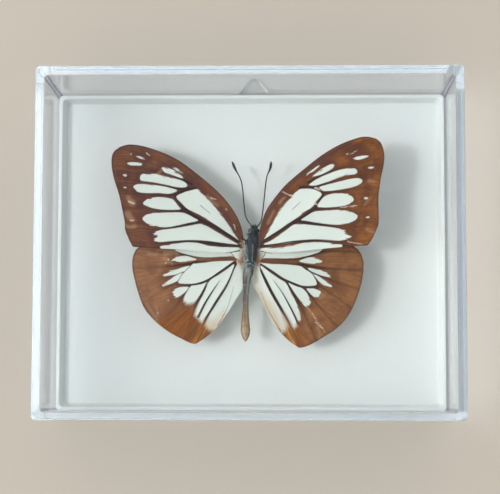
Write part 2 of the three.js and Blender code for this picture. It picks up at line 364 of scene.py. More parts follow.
def wing_scales_group():
    """The scales of a wing: its brown field with veins, rubs, painted highlights and the feathered
    white patches.
    """
    group = bpy.data.node_groups.new("wing_scales", "ShaderNodeTree")
    face = group.interface
    for name in (
        "Field", "Field Warm", "Field Dusky", "Between", "Vein Dark", "White", "Rust", "Glow"
    ):
        face.new_socket(name, in_out="INPUT", socket_type="NodeSocketColor")
    face.new_socket("Outer Veins", in_out="INPUT", socket_type="NodeSocketFloat")
    for name in ("Color", "Roughness", "Height", "White Share"):
        kind = "NodeSocketColor" if name == "Color" else "NodeSocketFloat"
        face.new_socket(name, in_out="OUTPUT", socket_type=kind)
    nodes = Nodes(group)
    given = nodes.add("NodeGroupInput").outputs
    result = nodes.add("NodeGroupOutput").inputs
    number = nodes.number

    # The scales lie in rows, so the fine patterns are long towards the root and narrow across.
    rows = nodes.add("ShaderNodeCombineXYZ")
    nodes.feed(rows.inputs[0], number("away"))
    nodes.feed(rows.inputs[1], number("around"))
    rows = rows.outputs[0]
    where = nodes.coordinates()
    streak = nodes.noise(nodes.stretch(rows, (6, 70, 1)), 1, 5, 0.62)
    hatch = nodes.noise(nodes.stretch(rows, (30, 190, 1)), 1, 3, 0.6)
    blotch = nodes.noise(where, 0.22 * PER_MM, 4, 0.6)
    speck = nodes.noise(where, 3.5 * PER_MM, 3, 0.6)
    fray = nodes.noise(nodes.stretch(rows, (14, 60, 1)), 1, 4, 0.7)
    rays = nodes.noise(nodes.stretch(rows, (3.2, 52, 1)), 1, 5, 0.68)
    vein = number("vein")

    # How ragged a patch's edge is: crisp along veins, feathered away from them.
    ragged = nodes.ramp(vein, -1.1, -0.25, 2.3, 0.22)
    ragged = nodes.maths("MULTIPLY", ragged, nodes.ramp(number("out"), 0.77, 0.84, 1.0, 0.3))
    shift = nodes.sway(speck, 0.14, nodes.sway(fray, ragged))
    soft = nodes.ramp(number("rust"), -3.5, 0.5, 0.14, 0.95)
    hard = nodes.maths("MULTIPLY", soft, -1.0)
    patch = nodes.ramp(nodes.maths("ADD", number("white"), shift), hard, soft)
    line = nodes.ramp(nodes.maths("MULTIPLY_ADD", speck, 0.1, number("line")), -0.06, 0.14)
    patch = nodes.maths("MULTIPLY", patch, nodes.maths("SUBTRACT", 1.0, line))

    # The brown field: streaked and blotched, darker between patches, along veins and at the rim.
    field = nodes.blend(nodes.ramp(streak, 0.38, 0.66), given["Field"], given["Field Warm"])
    dusky = nodes.maths("MULTIPLY", nodes.ramp(blotch, 0.42, 0.64), 0.75)
    field = nodes.blend(dusky, field, given["Field Dusky"])
    between = nodes.ramp(nodes.sway(blotch, 4.0, number("white")), -2.6, -0.5, 0.0, 0.6)
    field = nodes.blend(between, field, given["Between"])
    near_vein = nodes.ramp(vein, -0.45, -0.02)
    basal = nodes.ramp(number("out"), 0.5, 0.85, 1.0, given["Outer Veins"])
    basal = nodes.maths("MULTIPLY", basal, nodes.ramp(number("brown"), -0.5, 0.1, 1.0, 0.25))
    field = nodes.blend(nodes.maths("MULTIPLY", near_vein, basal), field, given["Vein Dark"])
    bound = nodes.ramp(number("rim"), 0.1, 0.6, 0.55, 0.0)
    field = nodes.blend(bound, field, given["Vein Dark"])
    for zone, colour, blur in (("rust", "Rust", 2.4), ("glow", "Glow", 1.4)):
        share = nodes.ramp(nodes.sway(streak, 3.0, number(zone)), -blur, blur, 0.0, 0.92)
        rayed = nodes.blend(nodes.ramp(rays, 0.4, 0.6, 0.0, 0.85), given[colour], given["Between"])
        field = nodes.blend(share, field, rayed)
    # Painted highlights: the golden strokes. Rubbed places, where scales are missing: the pale
    # strokes.
    for mark, low, high, most, colour in (
        ("golden", -0.6, 0.35, 0.5, srgb(178, 140, 108)),
        ("pale", -0.12, 0.12, 0.85, srgb(222, 198, 182)),
    ):
        rub_and_highlight = nodes.ramp(nodes.sway(hatch, 0.7, number(mark)), low, high, 0.0, most)
        field = nodes.blend(rub_and_highlight, field, colour)

    cream = nodes.ramp(nodes.sway(streak, 4.0, number("cream")), -1.6, 2.2, 0.0, 0.75)
    white = nodes.blend(cream, given["White"], srgb(205, 178, 142))
    white = nodes.blend(nodes.ramp(hatch, 0.3, 0.7, 0.06, 0.0), white, srgb(150, 150, 145))
    nodes.feed(result["Color"], nodes.blend(patch, field, white))
    nodes.feed(result["White Share"], patch)
    nodes.feed(result["Roughness"], nodes.ramp(speck, 0.3, 0.7, 0.5, 0.7))
    nodes.feed(result["Height"], nodes.maths("MULTIPLY_ADD", hatch, 0.6, speck))
    return group


def wing_material(name, group, colours):
    material, nodes, shader = new_material(name)
    scales = nodes.add("ShaderNodeGroup")
    scales.node_tree = group
    scales.inputs["White"].default_value = srgb(*WING_WHITE)
    for label, value in colours.items():
        paint = srgb(*value) if isinstance(value, tuple) else value
        scales.inputs[label].default_value = paint
    colour, roughness, height, white_share = scales.outputs
    nodes.dress(shader, colour, roughness, height, 0.03 * MM, 0.6)
    shader.inputs["Specular IOR Level"].default_value = 0.18
    shader.inputs["Sheen Weight"].default_value = 0.06
    shader.inputs["Sheen Roughness"].default_value = 0.4
    let_lamps_through(
        nodes, shader, nodes.blend(white_share, srgb(132, 118, 106), srgb(208, 210, 208))
    )
    return material


def surface_wear():
    """Fine scratches and smudges, for the metal and the plastic of the case."""
    group = bpy.data.node_groups.new("surface_wear", "ShaderNodeTree")
    face = group.interface
    face.new_socket("Fineness", in_out="INPUT", socket_type="NodeSocketFloat")
    for name in ("Scratches", "Smudges"):
        face.new_socket(name, in_out="OUTPUT", socket_type="NodeSocketFloat")
    nodes = Nodes(group)
    given = nodes.add("NodeGroupInput").outputs
    result = nodes.add("NodeGroupOutput").inputs
    where = nodes.add("ShaderNodeVectorMath", operation="SCALE")
    nodes.feed(where.inputs[0], nodes.coordinates())
    nodes.feed(where.inputs["Scale"], given["Fineness"])
    where = where.outputs[0]
    lines = [
        nodes.noise(nodes.stretch(where, scale), PER_MM, 2, 0.7)
        for scale in ((0.04, 1.6, 1.6), (1.3, 0.05, 1.3))
    ]
    lines = nodes.maths("MAXIMUM", *lines)
    nodes.feed(result["Scratches"], nodes.ramp(lines, 0.66, 0.74))
    nodes.feed(result["Smudges"], nodes.ramp(nodes.noise(where, 0.09 * PER_MM, 4, 0.6), 0.4, 0.7))
    return group


def wear_in(nodes, fineness):
    wear = nodes.add("ShaderNodeGroup")
    wear.node_tree = bpy.data.node_groups.get("surface_wear") or surface_wear()
    wear.inputs["Fineness"].default_value = fineness
    return wear.outputs["Scratches"], wear.outputs["Smudges"]


def plated_steel(name, colour, roughness):
    material, nodes, shader = new_material(name)
    scratches, smudges = wear_in(nodes, 1.0)
    colour = nodes.blend(smudges, colour, darker(colour, 0.72))
    dulled = nodes.maths("MULTIPLY_ADD", smudges, 0.12, roughness)
    dulled = nodes.maths("MULTIPLY_ADD", scratches, 0.15, dulled)
    nodes.dress(shader, colour, dulled, scratches, -0.008 * MM, 0.6)
    shader.inputs["Metallic"].default_value = 1.0
    return material


def white_foam():
    material, nodes, shader = new_material("white_foam")
    cells = nodes.add("ShaderNodeTexVoronoi", feature="DISTANCE_TO_EDGE")
    nodes.feed(cells.inputs["Vector"], nodes.coordinates())
    cells.inputs["Scale"].default_value = 4.5 * PER_MM
    walls = nodes.ramp(cells.outputs["Distance"], 0.02, 0.16, 1.0, 0.0)
    tone = nodes.noise(nodes.coordinates(), 0.5 * PER_MM, 3)
    colour = nodes.blend(nodes.ramp(tone, 0.35, 0.65), srgb(226, 226, 220), srgb(240, 240, 236))
    colour = nodes.blend(walls, colour, srgb(246, 246, 242))
    nodes.dress(shader, colour, nodes.ramp(tone, 0.3, 0.7, 0.78, 0.9), walls, 0.05 * MM, 0.8)
    return material


def body_skin():
    """The dark horny skin between the hairs."""
    material, nodes, shader = new_material("body_skin")
    where = nodes.coordinates()
    tone = nodes.noise(where, 0.9 * PER_MM, 4, 0.6)
    grain = nodes.noise(where, 9 * PER_MM, 2)
    colour = nodes.blend(nodes.ramp(tone, 0.38, 0.66), srgb(36, 37, 44), srgb(70, 74, 80))
    nodes.dress(shader, colour, nodes.ramp(grain, 0.3, 0.7, 0.42, 0.6), grain, 0.03 * MM, 0.7)
    return material


def hair(name, dark, middle, pale):
    """Hair that goes from dark to pale by each hair's own tint, and is darker at its root."""
    material, nodes, shader = new_material(name)
    tint = nodes.number("tint")
    tip = nodes.number("tip")
    colour = nodes.blend(nodes.ramp(tint, 0.0, 0.5), dark, middle)
    colour = nodes.blend(nodes.ramp(tint, 0.45, 1.0), colour, pale)
    colour = nodes.blend(nodes.ramp(tip, 0.0, 0.6, 0.45, 0.0), colour, darker(middle, 0.55))
    strands = nodes.noise(nodes.coordinates(), 12 * PER_MM, 2)
    nodes.dress(shader, colour, nodes.ramp(tip, 0.0, 1.0, 0.55, 0.4), strands, 0.01 * MM, 0.5)
    shader.inputs["Specular IOR Level"].default_value = 0.4
    return material


def abdomen_skin():
    """Grey at the waist, then violet-brown on the left, grey-green on the right, tan at the end."""
    material, nodes, shader = new_material("abdomen_skin")
    where = nodes.coordinates()
    rough = nodes.noise(nodes.stretch(where, (3.2, 0.5, 3.2)), PER_MM, 4, 0.6)
    grain = nodes.noise(where, 7 * PER_MM, 3, 0.6)
    across = nodes.sway(rough, 0.9, nodes.number("across"))
    along = nodes.sway(rough, 0.1, nodes.number("along"))
    right = nodes.ramp(across, -0.15, 0.45)
    colour = nodes.blend(right, srgb(82, 60, 62), srgb(146, 152, 144))
    rear = nodes.blend(right, srgb(134, 96, 66), srgb(164, 146, 116))
    colour = nodes.blend(nodes.ramp(along, 0.32, 0.62), colour, rear)
    club = nodes.blend(nodes.ramp(rough, 0.35, 0.65), srgb(164, 130, 98), srgb(200, 174, 142))
    colour = nodes.blend(nodes.ramp(along, 0.66, 0.86), colour, club)
    waist = nodes.blend(nodes.ramp(rough, 0.4, 0.6), srgb(84, 84, 88), srgb(150, 156, 154))
    colour = nodes.blend(nodes.ramp(along, 0.06, 0.2), waist, colour)
    side = nodes.maths("ABSOLUTE", nodes.number("across"))
    colour = nodes.blend(nodes.ramp(side, 0.8, 1.0, 0.0, 0.5), colour, srgb(70, 60, 54))
    ring = nodes.maths("FRACT", nodes.maths("MULTIPLY", nodes.number("along"), 8.0))
    patchy = nodes.ramp(grain, 0.4, 0.6, 0.0, 0.5)
    worn = nodes.maths("MULTIPLY", nodes.ramp(ring, 0.86, 0.98), patchy)
    colour = nodes.blend(worn, colour, srgb(196, 188, 172))
    nodes.dress(shader, colour, nodes.ramp(grain, 0.3, 0.7, 0.45, 0.65), grain, 0.04 * MM, 0.7)
    return material


def dark_horn():
    material, nodes, shader = new_material("dark_horn")
    where = nodes.coordinates()
    tone = nodes.noise(where, 1.2 * PER_MM, 3)
    grain = nodes.noise(where, 10 * PER_MM, 2)
    colour = nodes.blend(nodes.ramp(tone, 0.4, 0.64), srgb(24, 27, 25), srgb(50, 55, 49))
    nodes.dress(shader, colour, nodes.ramp(grain, 0.3, 0.7, 0.3, 0.5), grain, 0.02 * MM, 0.6)
    return material


def compound_eye():
    """A dark glossy dome of tiny facets."""
    material, nodes, shader = new_material("compound_eye")
    facets = nodes.add("ShaderNodeTexVoronoi")
    nodes.feed(facets.inputs["Vector"], nodes.coordinates())
    facets.inputs["Scale"].default_value = 22 * PER_MM
    dome = nodes.ramp(facets.outputs["Distance"], 0.0, 0.7, 1.0, 0.0)
    tone = nodes.noise(nodes.coordinates(), 2 * PER_MM, 2)
    colour = nodes.blend(nodes.ramp(tone, 0.35, 0.65), srgb(34, 24, 22), srgb(62, 44, 36))
    colour = nodes.blend(nodes.ramp(dome, 0.0, 0.35, 0.6, 0.0), colour, srgb(18, 14, 14))
    nodes.dress(shader, colour, nodes.ramp(dome, 0.0, 1.0, 0.3, 0.16), dome, 0.006 * MM, 0.5)
    shader.inputs["Coat Weight"].default_value = 0.4
    return material


def plain_floor():
    material, _, shader = new_material("plain_floor")
    shader.inputs["Base Color"].default_value = srgb(214, 203, 190)
    shader.inputs["Roughness"].default_value = 0.7
    return material


# Case.


def slab(name, width, length, z0, z1, corner=CORNER, centre=(0, 0)):
    """A block with rounded upright corners."""
    x, y = centre
    low = (x - width / 2, y - length / 2, z0)
    high = (x + width / 2, y + length / 2, z1)
    piece = block(name, low, high)
    edit(piece)
    pick_edges(upright)
    round_off(corner, 5)
    leave()
    return piece


def make_cover():
    cover = block(
        "cover_clear",
        (-CASE_WIDTH / 2, -CASE_LENGTH / 2, COVER_FOOT),
        (CASE_WIDTH / 2, CASE_LENGTH / 2, CASE_TOP),
    )
    edit(cover)
    pick_faces(facing_down)
    inset(WALL)
    extrude(z=CASE_TOP - WALL - COVER_FOOT)
    pick_edges(upright)
    round_off(CORNER, 5)
    pick_edges(lambda x, y, z, d: z > CASE_TOP - 0.1)
    round_off(0.35, 3)
    pick_edges(lambda x, y, z, d: abs(z - CASE_TOP + WALL) < 0.1)
    round_off(0.5, 3)
    pick_edges(lambda x, y, z, d: z < COVER_FOOT + 0.01)
    round_off(0.15, 2)
    face_outwards()
    leave()
    smooth_between_flats(cover)
    clear = clear_plastic()
    finish_piece(cover, clear, "clear_plastic", "cover")


def make_tray():
    tray = slab("tray_white", CASE_WIDTH, CASE_LENGTH, 0, FLANGE_TOP)
    plug_width = CASE_WIDTH - 2 * (WALL + GAP)
    plug_length = CASE_LENGTH - 2 * (WALL + GAP)
    combine(tray, slab("plug", plug_width, plug_length, 1, RIM_TOP), "UNION")
    over = 1.0
    draft = RIM_DRAFT / (RIM_TOP - TRAY_FLOOR)
    width = plug_width - 2 * RIM_WIDTH + 2 * over * draft
    length = plug_length - 2 * RIM_WIDTH + 2 * over * draft
    pocket = slab("pocket", width, length, TRAY_FLOOR, RIM_TOP + over)
    edit(pocket)
    pick_faces(facing_down)
    lean = 2 * (RIM_DRAFT + over * draft)
    bpy.ops.transform.resize(
        value=(1 - lean / width, 1 - lean / length, 1), center_override=place(0, 0, TRAY_FLOOR)
    )
    leave()
    combine(tray, pocket, "DIFFERENCE")
    combine(tray, slab("under", *UNDER_SIZE, -1, TRAY_UNDER), "DIFFERENCE")
    channel = block(
        "channel",
        (HANGER_X - CHANNEL["half_width"], CHANNEL["front"], -1),
        (HANGER_X + CHANNEL["half_width"], CHANNEL["back"], CHANNEL["top"]),
    )
    combine(tray, channel, "DIFFERENCE")
    edit(tray)
    pick_edges(lambda x, y, z, d: abs(z - RIM_TOP) < 0.02)
    round_off(0.22, 3)
    pick_edges(lambda x, y, z, d: abs(z - TRAY_FLOOR) < 0.02)
    round_off(0.4, 3)
    pick_edges(lambda x, y, z, d: z < 0.02 or abs(z - FLANGE_TOP) < 0.02)
    round_off(0.2, 2)
    face_outwards()
    leave()
    smooth_between_flats(tray)
    finish_piece(tray, white_plastic(), "white_plastic", "tray")


# Wings. Outlines, markings and veins are seen from above, about the middle of the case. The front
# edge (costa) and the rear edge run from the body outwards and the margin joins their far ends.
# root_z and rise: height at the body, and how much higher it is per millimetre away from it.
# rows: how finely the membrane is divided, outwards and across. fan: where its rows of scales meet.
# white, rust, glow and cream: outlines of coloured patches. veins and ribs (raised only), lines
# (drawn only), brown, pale and golden: strokes, each (half width at its start, at its end, path).

WINGS = {
    "forewing_left": {
        "root_z": 13.3, "rise": 0.05, "rows": (150, 120),
        "costa": [
            (-1.9, 3.2), (-2.6, 6.4), (-4, 9.6), (-6.5, 13.3), (-10, 17), (-15, 21.2), (-20, 24.9),
            (-25, 27.3), (-30, 28.9), (-34, 29.4), (-36.6, 28.7),
        ],
        "margin": [
            (-38.2, 27.4), (-38.9, 25.5), (-38.8, 22.5), (-38, 19), (-36.7, 15), (-35.6, 10),
            (-35, 7), (-35, 5.5), (-34, 2.8),
        ],
        "rear": [
            (-2.3, 0.2), (-4.5, -0.5), (-7.5, -1.05), (-12, -0.85), (-20, -0.2), (-27, 0.1),
            (-32.8, 0.5),
        ],
        "white": [
            [(-32.1, 26.1), (-31, 26), (-29.6, 25.5), (-29.1, 25.2), (-30.2, 25.3), (-31.4, 25.7)],
            [(-34.6, 24), (-33.5, 24.3), (-31.8, 24.3), (-30.6, 24), (-30.5, 23.5), (-31.8, 23.4),
             (-33.5, 23.5)],
            [(-35.8, 20.8), (-35.1, 20.95), (-34.5, 20.8), (-34.9, 20.3), (-35.3, 20.35)],
            [(-35.6, 17.3), (-35, 17.35), (-34.6, 17.1), (-35.1, 16.95)],
            [(-24.8, 22.9), (-24.5, 21.9), (-23.5, 21.2), (-20.8, 20.3), (-18.9, 19.8),
             (-19.3, 20.4), (-20.5, 21.3), (-22, 22.3), (-23.6, 22.6)],
            [(-21.5, 22.9), (-20.3, 22.4), (-19, 21.4), (-17.1, 20.1), (-18.2, 20.7),
             (-19.7, 21.7)],
            [(-30.6, 20.8), (-28.5, 21), (-26, 20.9), (-24, 20.3), (-21.5, 19.8), (-19.5, 19.3),
             (-18.2, 18.6), (-17.7, 17.8), (-18.3, 17.3), (-20.5, 17.3), (-23.5, 17.9),
             (-27, 18.6), (-30.3, 19), (-30.9, 19.6)],
            [(-32.7, 17.4), (-31.5, 18.1), (-29, 18), (-25.5, 17.7), (-22.5, 17.1), (-20.6, 16.5),
             (-21.2, 15.9), (-23, 15.4), (-26, 15.6), (-29.5, 15.6), (-31.5, 15.9), (-32.2, 16.5)],
            [(-30, 12.6), (-28.7, 13.8), (-26.5, 14.4), (-24.5, 14.5), (-22.5, 14.1), (-21, 13),
             (-19.9, 11.6), (-19.5, 11.1), (-21, 10.9), (-24, 10.9), (-26.5, 11.2), (-28.6, 11.8)],
            [(-30.1, 8.3), (-29.5, 9.2), (-27.5, 9.9), (-24, 10.1), (-20, 10.2), (-18, 9.8),
             (-16, 8.8), (-14.7, 7.9), (-17.5, 7.2), (-20, 6.6), (-22.5, 6.1), (-25, 6),
             (-27.5, 6.5), (-29.3, 7.4)],
            [(-27, 2.6), (-25.8, 3.7), (-27, 4.2), (-26.3, 4.8), (-25, 5.2), (-22, 5.6), (-19, 6.1),
             (-16.5, 6.6), (-14, 7), (-12.5, 6.5), (-10.5, 5.4), (-8, 4), (-5.5, 2.5), (-3.5, 1.3),
             (-6, 1.5), (-10, 2), (-14, 2.4), (-18, 2.4), (-22, 2.1), (-25, 1.8), (-26.5, 2.1)],
            [(-25.2, 0.2), (-24, 0.9), (-21, 1.4), (-18, 1.8), (-15, 1.7), (-12, 1), (-9, 0.6),
             (-5, 0.5), (-3, 0.3), (-2, -1), (-8, -2), (-18, -1.6), (-25, -1)],
            [(-15, 16.8), (-16.5, 16.5), (-18.5, 15.9), (-20.8, 14.6), (-19.5, 13), (-17.5, 11.2),
             (-15, 9.9), (-12, 8.2), (-9.5, 6.6), (-7, 4.9), (-5, 3.5), (-3.2, 2.2), (-5, 5),
             (-6.5, 7.3), (-8.5, 10), (-10.5, 12.4), (-12.5, 14.5), (-14.5, 16.4)],
        ],
        "ribs": [
            (0.3, 0.1, [(-2.6, 2.6), (-5, 7.2), (-8.6, 12), (-12.5, 16.2), (-15.8, 18.6),
                        (-20.5, 21.6), (-26, 24.4), (-31.5, 26.6), (-36, 27.8)]),
            (0.12, 0.08, [(-18, 20), (-22, 22.6), (-27, 25.4), (-32, 28.2)]),
        ],
        "veins": [
            (0.12, 0.08, [(-16.5, 18.2), (-20, 19.9), (-24, 21.3), (-29, 22.1), (-38.6, 22.6)]),
            (0.12, 0.08, [(-17, 17), (-20, 16.9), (-24, 17.9), (-30.5, 18.9), (-37.9, 19.4)]),
            (0.14, 0.08, [(-19.5, 15.9), (-21.5, 15.2), (-25, 15), (-31, 15.1), (-36.7, 15.2)]),
            (0.15, 0.15, [(-15.5, 17), (-17.4, 16.6), (-19.3, 16), (-20.9, 14.9), (-20.1, 13),
                          (-18.3, 10.9)]),
            (0.14, 0.08, [(-18.3, 10.8), (-20.5, 10.5), (-25, 10.6), (-29, 11.1), (-35.7, 11.3)]),
            (0.14, 0.08, [(-14, 7.7), (-17.3, 6.9), (-22, 5.8), (-27, 5.4), (-35, 5.8)]),
            (0.34, 0.2, [(-2.8, 1.7), (-6, 3.9), (-10, 6.2), (-14, 8.2), (-17, 10), (-18.6, 11.2)]),
            (0.2, 0.08, [(-2.8, 1), (-7, 1.1), (-12, 1.75), (-18, 2.15), (-24, 1.8), (-29, 1.1),
                         (-34, 1.4)]),
        ],
        "lines": [(0.09, 0.04, [(-14.1, 12.3), (-12.8, 11.2), (-11.2, 9.9)])],
        "pale": [
            (0.2, 0.12, [(-33.6, 26.7), (-33.4, 26.5)]),
            (0.18, 0.2, [(-6.85, 11.3), (-6.75, 11.1)]),
            (0.16, 0.06, [(-4.7, 6.9), (-4.35, 6.2), (-4.2, 5.4)]),
            (0.2, 0.1, [(-11.1, 14.4), (-10.4, 14.1), (-9.7, 14)]),
            (0.3, 0.15, [(-33.9, 13.1), (-33, 12.8), (-32.4, 12.6)]),
            (0.25, 0.1, [(-33.4, 7.9), (-32.5, 7.8)]),
            (0.2, 0.1, [(-29.2, 26.9), (-28.2, 26.2)]),
        ],
        "golden": [
            (0.5, 0.7, [(-34.2, 14.2), (-33.7, 13.4), (-33, 12.8)]),
            (0.8, 0.5, [(-34.2, 9.6), (-33.7, 8.8), (-33.1, 8.2)]),
            (0.3, 0.5, [(-34.6, 6.4), (-33.6, 6), (-32.4, 6.2)]),
            (0.3, 0.2, [(-12, 14.8), (-10.6, 13.4), (-9.2, 12.2)]),
            (0.2, 0.3, [(-24.8, 22.4), (-25.6, 21.4), (-26.3, 20.9)]),
        ],
    },
    "forewing_right": {
        "root_z": 13.3, "rise": 0.16, "rows": (150, 120),
        "costa": [
            (2.3, 3), (2.8, 6.2), (4.2, 10.3), (6.2, 13.5), (10, 18), (15, 22.2), (20, 26),
            (25, 28.8), (30, 30.5), (32.5, 30.7), (34.8, 30.1),
        ],
        "margin": [
            (36.2, 28.7), (37, 26), (36.9, 23), (36, 18.5), (35.4, 14), (35.4, 10), (35.4, 6.6),
            (34.6, 4.2), (33.6, 2.1),
        ],
        "rear": [
            (2.4, 0), (4.6, -0.8), (7.5, -1.1), (12, -1), (20, -0.3), (27, 0.2), (32.4, 0.4),
        ],
        "white": [
            [(26.8, 25.9), (27.5, 26.1), (28.8, 26.6), (30.1, 27.2), (29, 26.5), (27.8, 25.9)],
            [(28.7, 24.5), (29.5, 25.1), (31, 25.4), (32.8, 25.2), (31.5, 24.6), (30.2, 24.3)],
            [(32.6, 22), (33.4, 22.2), (34.3, 22), (33.5, 21.6), (32.9, 21.7)],
            [(31.3, 13.5), (31.9, 13.75), (32.7, 13.6), (32.3, 13.25), (31.7, 13.25)],
            [(31.8, 8.2), (32.3, 8.4), (33, 8.25), (32.6, 7.95), (32.1, 8)],
            [(15.8, 20.3), (17, 21.5), (18.4, 22.7), (19.2, 22.9), (18.3, 21.9), (17, 20.9)],
            [(17.5, 20), (18.5, 20.9), (20, 22), (21.5, 22.8), (23, 23.2), (23.4, 22.6),
             (22.5, 21.8), (21, 21), (19.5, 20.4)],
            [(16.4, 17.6), (17.5, 18.6), (19.5, 19.7), (22, 20.7), (24.5, 21.5), (27, 21.9),
             (29, 21.8), (29.7, 21), (29, 20.3), (27, 20.1), (24.5, 19.4), (22, 18.5), (20, 17.9),
             (18, 17.4)],
            [(19.3, 17), (22, 17.7), (25, 18.4), (28, 19), (30, 19.1), (31, 18.4), (30.2, 17.4),
             (28.5, 16.7), (25.5, 16.1), (22.5, 15.8), (20.5, 15.8), (19.6, 16.4)],
            [(18.7, 11.6), (19.7, 13.3), (21, 14.5), (23, 15), (25.5, 15), (27.5, 14.5),
             (28.6, 13.2), (27.8, 12.2), (25.8, 11.5), (23, 11.2), (20, 11.2)],
            [(14.2, 7.9), (16, 9.2), (18, 10.1), (21, 10.3), (24.5, 10.4), (27, 10), (29, 9.2),
             (29.7, 8.5), (28.8, 7.3), (27, 6.6), (24.5, 6.3), (21.5, 6.5), (18.5, 7), (16, 7.5)],
            [(3.8, 1.4), (6, 2.3), (8, 3.7), (10, 5.1), (12, 6.5), (13.5, 6.7), (16, 6.5),
             (19, 6.1), (22, 5.7), (24.5, 5.2), (26.5, 4.5), (26, 3.8), (28, 2.9), (26.5, 2.2),
             (24.5, 1.8), (21, 2), (18, 2.3), (14, 2.1), (11, 1.6), (7, 1.1), (5, 0.9)],
            [(5, 0.3), (8, 0.15), (12, 0.9), (15, 1.4), (18, 1.6), (21, 1.4), (24, 0.9),
             (25.5, 0.5), (25.3, -1), (18, -1.8), (8, -2.2), (2, -1), (3, 0.1)],
            [(19.9, 15), (18.5, 16), (17, 16.5), (15.5, 16.6), (14, 16.5), (12.5, 15.6),
             (11.8, 14.6), (10, 12.8), (8.5, 11), (7, 8.5), (5.5, 5.7), (4, 2.9), (3.6, 1.9),
             (5.5, 3.2), (8, 5.1), (10.5, 6.9), (13, 8.5), (15.5, 10.3), (17.5, 11.8),
             (18.6, 13.2)],
        ],
        "ribs": [
            (0.3, 0.1, [(2.5, 2.4), (4.6, 7), (8.2, 12.6), (12, 16.8), (14.6, 18.7), (19.5, 22.4),
                        (25, 25.6), (30, 28), (34, 29.4)]),
            (0.12, 0.08, [(17, 21), (21, 23.9), (26, 27), (30, 29.4)]),
        ],
        "veins": [
            (0.12, 0.08, [(16.2, 18.3), (20, 20.2), (24, 21.9), (28.5, 22.8), (36.6, 24.4)]),
            (0.12, 0.08, [(17, 17.1), (20, 17.5), (25, 18.8), (29.8, 19.6), (36.2, 20)]),
            (0.14, 0.08, [(19.8, 15.3), (23, 15.4), (27, 15.9), (31, 16.4), (35.6, 16.3)]),
            (0.15, 0.15, [(14, 17), (17, 16.9), (19.2, 15.8), (20.2, 14.6), (19, 12.8),
                          (18.4, 11.4)]),
            (0.14, 0.08, [(17.6, 10.8), (20, 10.8), (25, 11), (29, 11.3), (35.4, 11.5)]),
            (0.14, 0.08, [(13.8, 7.4), (17, 6.8), (21, 6.1), (25, 5.8), (35, 6.2)]),
            (0.34, 0.2, [(2.6, 1.5), (6, 3.6), (10, 6), (14, 8.2), (17, 10.1), (18.4, 11.6)]),
            (0.2, 0.08, [(2.6, 0.8), (7, 1.2), (12, 1.9), (18, 2.2), (23, 1.9), (28, 1.2),
                         (33.4, 1.6)]),
        ],
        "glow": [
            (1, 2), (2.4, 7.5), (5.4, 13.5), (9.4, 18.4), (14.4, 22.8), (19.4, 26.4), (25, 29.6),
            (28.6, 29), (24, 25.6), (19.6, 23), (15.4, 20), (11.4, 16.8), (8.4, 12.8), (5, 7),
            (3, 2.4),
        ],
        "lines": [
            (0.08, 0.05, [(11.7, 10.8), (12.9, 11.9), (14, 12.9)]),
            (0.25, 0.2, [(25.8, 0.5), (27.4, 0.6), (28.8, 0.5)]),
        ],
        "pale": [
            (0.14, 0.24, [(9, 16), (10, 15.4), (10.8, 15), (11.8, 14.7)]),
            (0.16, 0.16, [(17.7, 12.5), (18.3, 12.2), (18.9, 11.9)]),
            (0.3, 0.15, [(18.1, 16.7), (18.9, 16.4), (19.4, 16)]),
            (0.1, 0.16, [(25, 11.1), (27, 11.2), (29.4, 11.5)]),
            (0.16, 0.06, [(27, 1.6), (29, 1.1), (31, 0.8)]),
        ],
        "golden": [
            (0.3, 0.2, [(33, 18.3), (33.5, 18.2), (34.1, 18.1)]),
            (0.3, 0.2, [(8.3, 12.8), (8.8, 13.6), (9.6, 14.2)]),
            (0.25, 0.1, [(5, 7.2), (5.6, 8.6), (6.6, 10.6)]),
            (0.1, 0.1, [(31.6, 11.6), (32.6, 12.9), (33.4, 13.6)]),
            (0.14, 0.14, [(32.2, 5), (33.2, 4.3), (34.2, 4)]),
        ],
    },
    "hindwing_left": {
        "root_z": 12.55, "rise": -0.04, "rows": (140, 120), "fan": (-3, -2.6),
        "costa": [
            (-2.3, -0.5), (-5, 0.3), (-10, 0.9), (-18, 1.5), (-26, 1.7), (-30.5, 1.2), (-32.3, 0.2),
        ],
        "margin": [
            (-33.2, -2), (-33.3, -5), (-32.7, -8), (-31.5, -12.3), (-29.7, -16.6), (-26.5, -20.3),
            (-22.6, -23.3), (-18.6, -25.4), (-16.6, -26.3),
        ],
        "rear": [
            (-1.8, -4.6), (-1.6, -7.6), (-1.9, -10.2), (-3.2, -12.7), (-4.7, -15), (-6.5, -18),
            (-9, -21.5), (-12, -24.3), (-15.2, -26.5),
        ],
        "white": [
            [(-20.8, -0.3), (-19.5, -0.9), (-18, -1.3), (-15, -2), (-12, -2.2), (-9, -2.1),
             (-6.5, -1.9), (-5, -1.9), (-3.8, -2.6), (-2, -3.4), (-1.4, 0), (-10, 2.4), (-20, 2.4),
             (-22, 1)],
            [(-15.2, -2.8), (-17, -1.9), (-19.5, -1.8), (-21.5, -2.5), (-22, -3.1), (-20, -3.4),
             (-17.5, -3.3)],
            [(-4.3, -3.2), (-8, -3.1), (-12, -3.6), (-15, -3.9), (-16.3, -4.1), (-17.5, -5.2),
             (-18.9, -6.3), (-20, -8), (-20.3, -9.2), (-19.5, -9.6), (-17, -9.7), (-15, -9.5),
             (-13, -8.9), (-11.5, -8.1), (-9, -6.8), (-6.5, -5.2), (-4.8, -3.9)],
            [(-16.8, -4.6), (-19.5, -5.1), (-22.5, -6.2), (-24.5, -7.4), (-22, -7.2),
             (-19.8, -6.7), (-18, -5.8)],
            [(-18.9, -6.6), (-21, -7.3), (-23, -8.8), (-24.8, -10.3), (-22.5, -9.7),
             (-20.5, -8.8), (-19.5, -8)],
            [(-17.3, -10.6), (-19, -10.5), (-21, -11), (-21.7, -12), (-21.3, -13.2), (-20, -13.1),
             (-18.5, -12.2), (-17.4, -11.2)],
